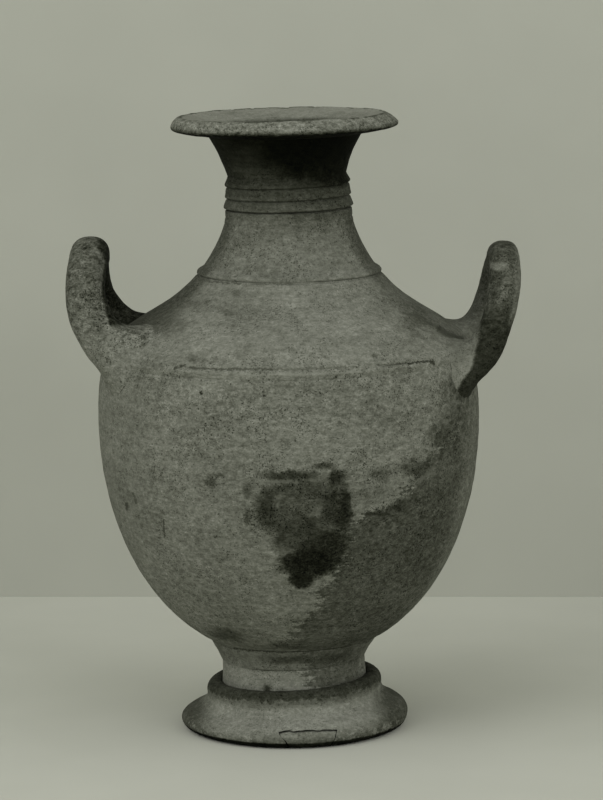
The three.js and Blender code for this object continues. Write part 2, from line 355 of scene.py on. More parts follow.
def turned(runs: Sequence[Run], columns: int, relief: Relief) -> Surface:
    """An outline turned about the jar's axis.

    A point at radius r, height z and angle a lies at (r cos a, r sin a, z). It then moves along the outline's
    outward normal by the relief there times the run's share of it. Ends on the axis become poles.

    Args:
        runs: Stretches of the outline, anticlockwise in radius and height.
        columns: Corners on each ring.
        relief: Unevenness of the clay.

    Returns:
        The closed surface.
    """
    lines = [refined(run.line, run.step, run.levels) for run in runs]
    shares = [np.full(len(line), run.relief) for line, run in zip(lines, runs)]
    normals = [-leftward(line) for line in lines]
    line, share, normal = np.vstack(lines), np.concatenate(shares), np.vstack(normals)
    fresh = np.concatenate([[True], np.linalg.norm(np.diff(line, axis=0), axis=1) > 1e-6])
    line, share, normal = line[fresh], share[fresh], normal[fresh]
    poles = line[[0, -1], 0] < 1e-6
    off_axis = slice(int(poles[0]), len(line) - int(poles[1]))
    rows, share, normal = line[off_axis], share[off_axis], normal[off_axis]
    angle = np.linspace(0.0, 2 * math.pi, columns, endpoint=False)
    around = np.stack([np.cos(angle), np.sin(angle)], axis=-1)

    def spun(flat: np.ndarray) -> np.ndarray:
        """Places or directions in the outline's plane, repeated at every angle."""
        upright = np.broadcast_to(flat[:, None, 1:], (len(flat), columns, 1))
        return np.concatenate([flat[:, None, :1] * around, upright], axis=-1)

    smooth = spun(rows)
    out = share[:, None] * relief.height(smooth)
    corners = (smooth + out[..., None] * spun(normal)).reshape(-1, 3)
    faces = [tube_faces(len(rows), columns, closed=not poles.any())]
    for end, pole in enumerate(poles):
        if pole:
            first = 0 if end == 0 else (len(rows) - 1) * columns
            faces.append(fan_faces(np.arange(first, first + columns), len(corners), outward=end == 1))
            corners = np.vstack([corners, [0.0, 0.0, line[0 if end == 0 else -1, 1]]])
    return Surface(askew(corners), faces)


@dataclass(frozen=True)
class Wall:
    """The lines that the sections of the wall share, and the joints between them."""

    thickness: float = 3.6
    gap: float = 0.3
    lap: float = 2.0
    belly_radius: float = 46.4
    belly_level: float = 77.0
    outside: np.ndarray = field(init=False, repr=False)
    inside: np.ndarray = field(init=False, repr=False)
    bowl: np.ndarray = field(init=False, repr=False)
    shoulder: np.ndarray = field(init=False, repr=False)
    neck: np.ndarray = field(init=False, repr=False)
    mouth: np.ndarray = field(init=False, repr=False)

    def __post_init__(self) -> None:
        """Joins four smooth bends to the outside line, and sets the inside line off by the wall's thickness."""
        seam, root, collar = (SEAM_RADIUS, SEAM_LEVEL), (NECK_RADIUS, NECK_LEVEL), (COLLAR_RADIUS, COLLAR_LEVEL)
        foot, widest = (BOWL_RADIUS, BOWL_LEVEL), (self.belly_radius, self.belly_level)
        bowl = np.vstack([
            bend(60, foot, (36.63, 31.16), (self.belly_radius, self.belly_level - 24.5), widest),
            bend(20, widest, (self.belly_radius, self.belly_level + 8), (45.6, SEAM_LEVEL - 5), seam)[1:],
        ])
        shoulder = bend(40, seam, (37.7, SEAM_LEVEL + 7.9), (29.8, NECK_LEVEL - 9.1), root)
        neck = bend(30, root, (19.4, NECK_LEVEL + 3.4), (COLLAR_RADIUS, COLLAR_LEVEL - 4.6), collar)
        mouth = bend(
            24, (MOUTH_RADIUS, MOUTH_LEVEL), (15.4, MOUTH_LEVEL + 3.6), (16.5, LIP_LEVEL - 3.6), (LIP_RADIUS, LIP_LEVEL)
        )
        outside = np.vstack([bowl, shoulder[1:], neck[1:], mouth])
        inside = outside + self.thickness * leftward(outside)
        inside = inside[np.concatenate([[True], np.diff(np.maximum.accumulate(inside[:, 1])) > 1e-3])]
        lines = {"bowl": bowl, "shoulder": shoulder, "neck": neck, "mouth": mouth, "outside": outside, "inside": inside}
        for name, line in lines.items():
            object.__setattr__(self, name, line)

    def split(self, level: float) -> float:
        """Radius in the middle of the wall, where a spigot ends and the seat begins."""
        return (radius_at(self.outside, level) + radius_at(self.inside, level)) / 2

    def spigot(self, level: float) -> Run:
        """The inner half of the wall, hanging a lap below the seat."""
        low, split = level - self.lap, self.split(level)
        return Run(line_of((radius_at(self.inside, low), low), (split, low), (split, level)))

    def rebate(self, level: float, outer: float) -> Run:
        """The seat, from the outside inwards, and the step down behind it."""
        radius = self.split(level) + self.gap
        return Run(line_of((outer, level), (radius, level), (radius, level - self.lap - self.gap)), step=1.2)

    def inner(self, bottom: float, top: float) -> Run:
        """The inside face of a section, from under its top joint down to its bottom joint."""
        return Run(between(self.inside, bottom, top - self.lap - self.gap)[::-1], step=1.8, relief=0.5)

    def distance(self, points: np.ndarray) -> tuple[np.ndarray, np.ndarray]:
        """Distance of some points from the outside of bowl and shoulder, and the wall's outward normal there.

        In the half-plane through the axis, the nearest point of every stretch of the line is worked out, and
        the nearest of all gives the distance. It is negative inside the jar.

        Args:
            points: Places, x, y and z along the last axis.

        Returns:
            The distances, and unit normals in space.
        """
        line = np.vstack([self.bowl[::4], self.shoulder[2::3]])
        flat = np.stack([np.hypot(points[..., 0], points[..., 1]), points[..., 2]], axis=-1).reshape(-1, 1, 2)
        start, along = line[:-1], np.diff(line, axis=0)
        part = np.clip(((flat - start) * along).sum(-1) / (along**2).sum(-1), 0, 1)
        gap = flat - (start + part[..., None] * along)
        nearest = np.argmin((gap**2).sum(-1), axis=1)
        normal = np.column_stack([along[:, 1], -along[:, 0]])
        normal /= np.linalg.norm(normal, axis=1, keepdims=True)
        blended = normal[nearest] + 1e-9
        chosen = gap[np.arange(len(gap)), nearest]
        size = (chosen * blended).sum(-1)
        radius = np.maximum(flat[:, 0, 0], 1e-6)
        plan = points.reshape(-1, 3)[:, :2] / radius[:, None]
        space = np.column_stack([plan * blended[:, :1], blended[:, 1]])
        return size.reshape(points.shape[:-1]), space.reshape(points.shape)


WALL = Wall()


# Shader maths
@dataclass
class Tone:
    """A socket of a material. Sums, products and quotients of it add Math nodes."""

    tree: "Tree"
    socket: bpy.types.NodeSocket

    def __add__(self, other: "Tone | float") -> "Tone":
        """This value plus another."""
        return self.tree.math("ADD", self, other)

    def __radd__(self, other: float) -> "Tone":
        """Another value plus this one."""
        return self.tree.math("ADD", other, self)

    def __sub__(self, other: "Tone | float") -> "Tone":
        """This value less another."""
        return self.tree.math("SUBTRACT", self, other)

    def __rsub__(self, other: float) -> "Tone":
        """Another value less this one."""
        return self.tree.math("SUBTRACT", other, self)

    def __mul__(self, other: "Tone | float") -> "Tone":
        """This value times another."""
        return self.tree.math("MULTIPLY", self, other)

    def __rmul__(self, other: float) -> "Tone":
        """Another value times this one."""
        return self.tree.math("MULTIPLY", other, self)

    def __truediv__(self, other: "Tone | float") -> "Tone":
        """This value over another."""
        return self.tree.math("DIVIDE", self, other)

    def __rtruediv__(self, other: float) -> "Tone":
        """Another value over this one."""
        return self.tree.math("DIVIDE", other, self)


class Tree:
    """The nodes of one material."""

    def __init__(self, name: str) -> None:
        """Makes an empty material."""
        self.material = bpy.data.materials.new(name)
        self.material.use_nodes = True
        self.nodes = self.material.node_tree.nodes
        self.links = self.material.node_tree.links
        self.nodes.clear()

    def node(self, kind: str, settings: dict | None = None, sockets: dict | None = None) -> bpy.types.Node:
        """Adds a node.

        Args:
            kind: The node's type.
            settings: Its own settings by name. "stops" fills a colour ramp with (place, colour).
            sockets: Values or tones for its inputs, by name or number.

        Returns:
            The node.
        """
        node = self.nodes.new(kind)
        for name, value in (settings or {}).items():
            if name == "stops":
                ramp = node.color_ramp
                while len(ramp.elements) < len(value):
                    ramp.elements.new(0.5)
                for element, (place, colour) in zip(ramp.elements, value):
                    element.position = place
                    element.color = colour
            else:
                setattr(node, name, value)
        for name, value in (sockets or {}).items():
            if isinstance(value, Tone):
                self.links.new(value.socket, node.inputs[name])
            else:
                node.inputs[name].default_value = value
        return node

    def tone(
        self, kind: str, settings: dict | None = None, sockets: dict | None = None, output: int | str = 0
    ) -> Tone:
        """What one output of a new node gives."""
        return Tone(self, self.node(kind, settings, sockets).outputs[output])

    def finish(self, shader: Tone) -> bpy.types.Material:
        """The material, with a shader as its surface."""
        self.node("ShaderNodeOutputMaterial", {}, {"Surface": shader})
        return self.material

    def place(self) -> Tone:
        """Object coordinates, in millimetres."""
        return self.vector("MULTIPLY", self.tone("ShaderNodeTexCoord", output="Object"), (1 / MM,) * 3)

    def math(self, operation: str, *values: Tone | float) -> Tone:
        """The result of a Math node."""
        return self.tone("ShaderNodeMath", {"operation": operation}, dict(enumerate(values)))

    def vector(self, operation: str, *values: Tone | tuple) -> Tone:
        """The result of a Vector Math node, which is a number for a length or a dot product."""
        output = "Value" if operation in ("LENGTH", "DOT_PRODUCT") else "Vector"
        return self.tone("ShaderNodeVectorMath", {"operation": operation}, dict(enumerate(values)), output)

    def step(self, value: Tone, low: float, high: float, top: float = 1.0) -> Tone:
        """0 at low, the top at high, smooth between. Low may be the greater of the two."""
        limits = {"Value": value, "From Min": low, "From Max": high, "To Max": top}
        return self.tone("ShaderNodeMapRange", {"interpolation_type": "SMOOTHSTEP"}, limits)

    def noise(
        self, place: Tone, size: float, detail: float = 2.0, roughness: float = 0.5,
        shift: Triple | None = None, colour: bool = False,
    ) -> Tone:
        """Soft noise round 0.5.

        Args:
            place: Where it is read, in millimetres.
            size: Size of its features in millimetres.
            detail: How many finer layers it has.
            roughness: How strong each finer layer is.
            shift: Moves the place first, so that two noises differ.
            colour: Gives three noises as a colour.

        Returns:
            The noise.
        """
        place = self.vector("ADD", place, shift) if shift else place
        sockets = {"Vector": place, "Scale": 1 / size, "Detail": detail, "Roughness": roughness}
        return self.tone("ShaderNodeTexNoise", {}, sockets, "Color" if colour else 0)

    def ramp(self, value: Tone, stops: Sequence[tuple[float, tuple[float, ...]]]) -> Tone:
        """The colour of a ramp with some stops at a value."""
        return self.tone("ShaderNodeValToRGB", {"stops": stops}, {0: value})

    def drift(self, place: Tone, size: float, reach: float) -> Tone:
        """A soft random vector in the xz plane, up to half the reach long on each axis."""
        colour = self.noise(place, size, 4.0, 0.7, colour=True)
        return self.vector("MULTIPLY_ADD", colour, (reach, 0.0, reach), (-reach / 2, 0.0, -reach / 2))

    def parts(self, place: Tone) -> tuple[Tone, Tone, Tone]:
        """The x, y and z of a place."""
        split = self.node("ShaderNodeSeparateXYZ", {}, {0: place})
        return tuple(Tone(self, split.outputs[k]) for k in range(3))

    def table(self, value: Tone, points: Sequence[Pair]) -> Tone:
        """Reads a value off a table of up to 32 pairs (place, result), straight between them."""
        low, high = points[0][0], points[-1][0]
        results = [result for _, result in points]
        base, reach = min(results), max(results) - min(results)
        stops = [
            ((place - low) / (high - low), ((result - base) / reach,) * 3 + (1.0,)) for place, result in points
        ]
        return self.ramp((value - low) / (high - low), stops) * reach + base

    def blend(self, first: Tone | float, second: Tone | float, share: Tone | float) -> Tone:
        """The first value where the share is 0, the second where it is 1."""
        return self.tone("ShaderNodeMix", {"data_type": "FLOAT"}, {0: share, 2: first, 3: second})


def linear(level: float) -> float:
    """The light of a grey level out of 255: ((s + 0.055) / 1.055)^2.4, or s / 12.92 for dark ones."""
    s = level / 255
    return s / 12.92 if s <= 0.04045 else ((s + 0.055) / 1.055) ** 2.4


def tinted(level: float) -> tuple[float, float, float, float]:
    """The jar's grey at a level: a little green, with less blue, as in the old print."""
    return (linear(level), linear(level + 1.7), linear(max(0.975 * level - 6.0, 0.0)), 1.0)


# Finishes
@dataclass(frozen=True)
class Spot:
    """A stain on the front: an ellipse in x and z, with a soft, ragged edge."""

    x: float
    z: float
    wide: float
    high: float
    tone: float
    strength: float = 0.9
    soft: float = 0.35


@dataclass(frozen=True)
class Stroke:
    """A line on the front from one point in x and z to another."""

    start: Pair
    end: Pair
    half_width: float
    tone: float
    strength: float = 0.9


@dataclass(frozen=True)
class Marks:
    """The noises that the clay's tone, relief and stains share. The weathering is a tone round 0."""

    weathering: Tone
    patches: Tone
    streaks: Tone


@dataclass(frozen=True)
class Clay:
    """A finish of old, matt, pitted clay. Tones are grey levels, and sizes are in millimetres."""

    name: str
    tone: float
    patches: float = 42.0
    patch_size: float = 11.0
    weathering: float = 100.0
    grain_size: float = 1.5
    streaks: float = 22.0
    pit_depth: float = 46.0
    pit_share: float = 0.385
    pit_size: float = 0.36
    crumbs: float = 14.0
    crumb_size: float = 0.45
    roughness: float = 0.93
    gloss: float = 0.06
    bump: float = 0.55
    bump_height: float = 0.35

    def material(self) -> bpy.types.Material:
        """Builds the material: a tone from the noises and the stains, turned into a colour by a ramp.

        The patches are wide and soft, the fractal grain is the weathering, pits are where a fine noise is low,
        more of them where the clay is worn, and crumbs are where another is high.

        Returns:
            The material.
        """
        tree = Tree(self.name)
        place = tree.place()
        fractal = tree.noise(tree.vector("MULTIPLY", place, (0.85, 0.85, 1.3)), self.grain_size, 2.0, 1.0)
        wide = tree.vector("MULTIPLY_ADD", place, (0.8, 0.8, 1.25), (3.0, 8.0, 2.0))
        patches = tree.noise(wide, self.patch_size, 3.0, 0.62)
        streaks = tree.noise(tree.vector("MULTIPLY", place, (0.06, 0.06, 1.0)), 1.0, 3.0, 0.6)
        worn = tree.step(tree.noise(place, 7.0, 4.0, 0.65, shift=(30.0, 5.0, 11.0)), 0.6, 0.42)
        fine = tree.noise(place, self.pit_size, 1.0, 0.5, shift=(7.0, 3.0, 1.0))
        pits = tree.step(fine + worn * 0.1, self.pit_share + 0.03, self.pit_share - 0.04)
        crumbs = tree.step(tree.noise(place, self.crumb_size, 1.0, 0.5, shift=(1.0, 17.0, 5.0)), 0.62, 0.72)
        specks = crumbs * self.crumbs - pits * self.pit_depth
        weathering = ((fractal - 0.5) * self.weathering + specks) * self.coarseness(tree, place)
        tone = self.base(tree, place) + (patches - 0.5) * self.patches + weathering + (streaks - 0.5) * self.streaks
        tone = self.stained(tree, place, tone, Marks(weathering, patches, streaks))
        levels = (0, 14, 30, 48, 68, 90, 115, 145, 185)
        height = (fractal - 0.5) * 1.2 - pits * 0.5 + crumbs * 0.2
        relief = {"Strength": self.bump, "Distance": self.bump_height * MM, "Height": height}
        surface = {
            "Base Color": tree.ramp(tone * (1 / levels[-1]), [(level / levels[-1], tinted(level)) for level in levels]),
            "Roughness": self.roughness + (patches - 0.5) * 0.1,
            "Normal": tree.tone("ShaderNodeBump", {}, relief),
            "Specular IOR Level": self.gloss,
        }
        return tree.finish(tree.tone("ShaderNodeBsdfPrincipled", {}, surface))

    def coarseness(self, tree: Tree, place: Tone) -> Tone | float:
        """How strong the weathering is from place to place: the same all over."""
        return 1.0

    def base(self, tree: Tree, place: Tone) -> Tone | float:
        """The tone before its noises: one value all over."""
        return self.tone

    def stained(self, tree: Tree, place: Tone, tone: Tone, marks: Marks) -> Tone:
        """The tone with its stains: none on a plain finish."""
        return tone


@dataclass(frozen=True)
class LipClay(Clay):
    """The lip's clay: smooth and pale in the dish, gritty on the bevel, with painted shade and shadow under its edge.
    """

    dish_tone: float = 112.0
    arris_shadow_tone: float = 58.0
    arris: float = 24.75
    shade_tone: float = 66.0
    underside_shadow_tone: float = 12.0
    shade_levels: Pair = (LIP_LEVEL + 1.9, LIP_LEVEL + 3.2)
    underside_shadow_levels: Pair = (LIP_LEVEL + 1.3, LIP_LEVEL + 2.3)
    edge_radius: float = 27.6
    tilt: float = 0.012

    def coarseness(self, tree: Tree, place: Tone) -> Tone:
        """Full on the bevel and weak in the dish."""
        return tree.step(self.radius(tree, place), self.arris, self.arris + 1.0, 0.65) + 0.35

    def radius(self, tree: Tree, place: Tone) -> Tone:
        """Distance from the middle of the dish, which is a little to the left of the jar's axis."""
        return tree.vector("LENGTH", tree.vector("MULTIPLY_ADD", place, (1.0, 1.0, 0.0), (0.9, 0.0, 0.0)))

    def base(self, tree: Tree, place: Tone) -> Tone:
        """Dish and bevel tones, a broken painted shadow line between them, and painted shade under the edge, tilted as
        the lip.
        """
        x, _, z = tree.parts(place)
        ragged = (tree.noise(place, 2.5, 3.0, 0.65) - 0.5) * 2.4
        radius = self.radius(tree, place) + ragged
        tone = tree.blend(self.tone, self.dish_tone, tree.step(radius, self.arris + 0.4, self.arris - 0.4))
        # A broken painted shadow line where the dish meets the bevel.
        line = tree.step(tree.math("ABSOLUTE", radius - self.arris), 0.8, 0.1)
        tone = tree.blend(tone, self.arris_shadow_tone, line * tree.step(tree.noise(place, 4.0, 2.0, 0.5), 0.42, 0.58))
        level = z + (self.edge_radius - x) * self.tilt + ragged * 0.2
        # Painted shade on the lower part of the edge, and a painted shadow under it.
        tone = tree.blend(self.shade_tone, tone, tree.step(level, *self.shade_levels))
        return tree.blend(self.underside_shadow_tone, tone, tree.step(level, *self.underside_shadow_levels))


@dataclass(frozen=True)
class FootClay(Clay):
    """The foot's clay: darker on top of its ring and on its flanks, worn pale on its slope, and a painted contact
    shadow along the table.
    """

    edge_tones: Table = ((0.0, 56.0), (1.3, 70.0), (2.4, 86.0), (3.6, 100.0))
    ring_tone: float = 50.0
    flank_tone: float = 58.0
    worn_tone: float = 116.0
    contact_shadow_tone: float = 8.0
    ring_levels: Pair = (10.1, 11.0)
    flank_reach: Pair = (18.0, 25.0)
    flank_levels: Pair = (9.5, 8.0)
    worn_levels: Pair = (4.2, 2.8)
    worn_front: Pair = (-2.0, -9.0)
    contact_shadow_levels: Pair = (1.8, 1.3)
    tilt: float = 0.045

    def base(self, tree: Tree, place: Tone) -> Tone:
        """Blends the tones by height, with the ring's dark band running down in drips, and paints a contact shadow
        along the table.
        """
        x, y, z = tree.parts(place)
        level = z - x * self.tilt
        drips = (tree.noise(place, 2.4, 4.0, 0.75) - 0.5) * 4.6
        slope = tree.table(level, (*self.edge_tones, (5.0, self.tone), (8.2, self.tone), (10.0, 84.0)))
        tone = tree.blend(slope, self.ring_tone, tree.step(level + drips, *self.ring_levels))
        flank = tree.step(tree.math("ABSOLUTE", x + 0.8 + drips), *self.flank_reach)
        tone = tree.blend(tone, self.flank_tone, flank * tree.step(level, *self.flank_levels) * 0.9)
        worn = tree.step(tree.noise(place, 3.0, 4.0, 0.8), 0.51, 0.58) * tree.step(z, *self.worn_levels)
        tone = tree.blend(tone, self.worn_tone, worn * tree.step(y, *self.worn_front) * 0.75)
        # Below about 1.5 mm the foot is painted near black, as the contact shadow under its rounded edge.
        return tree.blend(tone, self.contact_shadow_tone, tree.step(z + drips * 0.12, *self.contact_shadow_levels))


@dataclass(frozen=True)
class HandleClay(Clay):
    """The clay of the handles: as the wall's at their roots and darker away from them, with some painted shade and
    light.

    A pair is where a mask starts and where it is full: "levels" in z, "reach" outwards from the jar's axis,
    "front" and "back" in y, and "edge" across the roll.
    """

    root_tone: float = 101.0
    inner_shade_tone: float = 25.0
    dirt_tone: float = 48.0
    right_low: float = 36.0
    right_high: float = 58.0
    pale_tone: float = 84.0
    rim_light_tone: float = 92.0
    streak_tone: float = 112.0
    left_middle: Table = (
        (91.15, 35.5), (96.6, 42.5), (102.7, 46.9), (109.5, 48.8), (116.85, 48.2),
    )
    right_middle: Table = (
        (90.7, 39.5), (97.6, 48.2), (105.1, 50.8), (115.4, 52.2),
    )
    right_edge: Table = (
        (84.0, 38.5), (88.2, 41.0), (90.5, 43.2), (94.4, 44.3), (99.4, 45.4), (109.0, 46.4), (112.7, 47.6),
        (119.0, 49.5),
    )
    right_inner: Table = ((90.0, 108.0), (97.0, 92.0), (103.0, 80.0), (119.0, 76.0))
    left_levels: Pair = (97.0, 108.0)
    dirt_levels: Pair = (96.5, 100.0)
    inner_edge: Pair = (-3.9, -4.5)
    inner_levels: Pair = (101.0, 103.0)
    inner_reach: Pair = (37.5, 39.0)
    hollow_front: Pair = (-7.5, -6.0)
    hollow_front_reach: tuple[Pair, Pair] = ((46.5, 45.0), (35.5, 36.5))
    hollow_back: Pair = (-2.0, 1.0)
    hollow_back_reach: Pair = (47.5, 46.0)
    hollow_reach: Pair = (31.5, 33.0)
    hollow_levels: Pair = (95.5, 97.5)
    right_levels: Pair = (101.0, 107.0)
    pale_levels: Pair = (102.0, 108.0)
    rim_light_edge: Pair = (2.0, 3.2)
    rim_light_levels: Pair = (99.0, 103.0)
    streak_scale: Triple = (0.36, 0.0, 0.8)
    streak_shift: Triple = (-18.1, 0.0, -91.2)
    streak_front: Pair = (0.0, -3.0)
    front_edge: Pair = (-0.5, 0.5)
    front: Pair = (13.0, 0.0)

    def coarseness(self, tree: Tree, place: Tone) -> Tone:
        """Stronger on the rolls than at their roots."""
        x, _, z = tree.parts(place)
        return (tree.step(z, 94.0, 102.0, 0.4) + 0.9) * (1 - tree.step(x, 0.0, 10.0, 0.35))

    def base(self, tree: Tree, place: Tone) -> Tone:
        """Blends the wall's tone to each handle's own, by the distance from the middle of its roll.

        The left handle has painted shade on the side to the neck and in its hollow. The right one is dark from its root
        up in front, partly dark clay and partly painted shade, with worn pale patches and a streak above, a painted
        light along the edge on the outside, and plain clay on the side to the neck.

        Args:
            tree: The material's nodes.
            place: The place on the jar.

        Returns:
            The tone before its noises.
        """
        x, y, z = tree.parts(place)
        outward = tree.math("ABSOLUTE", x)
        ragged = (tree.noise(place, 3.0, 4.0, 0.75) - 0.5) * 4.0
        left = tree.blend(self.root_tone, self.tone, tree.step(z + ragged, *self.left_levels))
        dirt = tree.step(tree.noise(place, 4.0, 4.0, 0.8, shift=(9.0, 2.0, 4.0)), 0.54, 0.6)
        left = tree.blend(left, self.dirt_tone, dirt * tree.step(z + ragged, *self.dirt_levels) * 0.6)
        uneven = outward + ragged * 0.15
        # Painted shade on the left handle's side to the neck, and in its hollow behind the front leg.
        inside = tree.step(outward - tree.table(z, self.left_middle) + ragged * 0.1, *self.inner_edge)
        inside = inside * tree.step(z, *self.inner_levels) * tree.step(uneven, *self.inner_reach)
        far, near = self.hollow_front_reach
        hollow = tree.step(y, *self.hollow_front) * tree.step(outward, *far) * tree.step(uneven, *near)
        behind = tree.step(y, *self.hollow_back) * tree.step(outward, *self.hollow_back_reach)
        hollow = tree.math("MAXIMUM", hollow, behind)
        hollow = hollow * tree.step(uneven, *self.hollow_reach) * tree.step(z, *self.hollow_levels)
        left = tree.blend(left, self.inner_shade_tone, tree.math("MAXIMUM", inside, hollow) * 0.9)
        # The right handle's dark front is partly dark clay and partly painted shade.
        right = tree.blend(self.right_low, self.right_high, tree.step(z + ragged, *self.right_levels))
        pale = tree.step(tree.noise(place, 3.2, 4.0, 0.8, shift=(2.0, 6.0, 9.0)), 0.52, 0.6)
        right = tree.blend(right, self.pale_tone, pale * tree.step(z + ragged, *self.pale_levels) * 0.75)
        # A painted light along the right handle's outer edge.
        rim_light = tree.step(outward - tree.table(z, self.right_middle) + ragged * 0.4, *self.rim_light_edge)
        right = tree.blend(right, self.rim_light_tone, rim_light * tree.step(z, *self.rim_light_levels) * 0.75)
        away = tree.vector("LENGTH", tree.vector("MULTIPLY_ADD", place, self.streak_scale, self.streak_shift))
        streak = tree.step(away + ragged * 0.15, 1.1, 0.5) * tree.step(y, *self.streak_front)
        right = tree.blend(right, self.streak_tone, streak * 0.7)
        front = tree.step(outward - tree.table(z, self.right_edge) + ragged * 0.35, *self.front_edge)
        right = tree.blend(tree.table(z, self.right_inner), right, front * tree.step(y, *self.front))
        return tree.blend(left, right, tree.step(x, -10.0, 10.0))


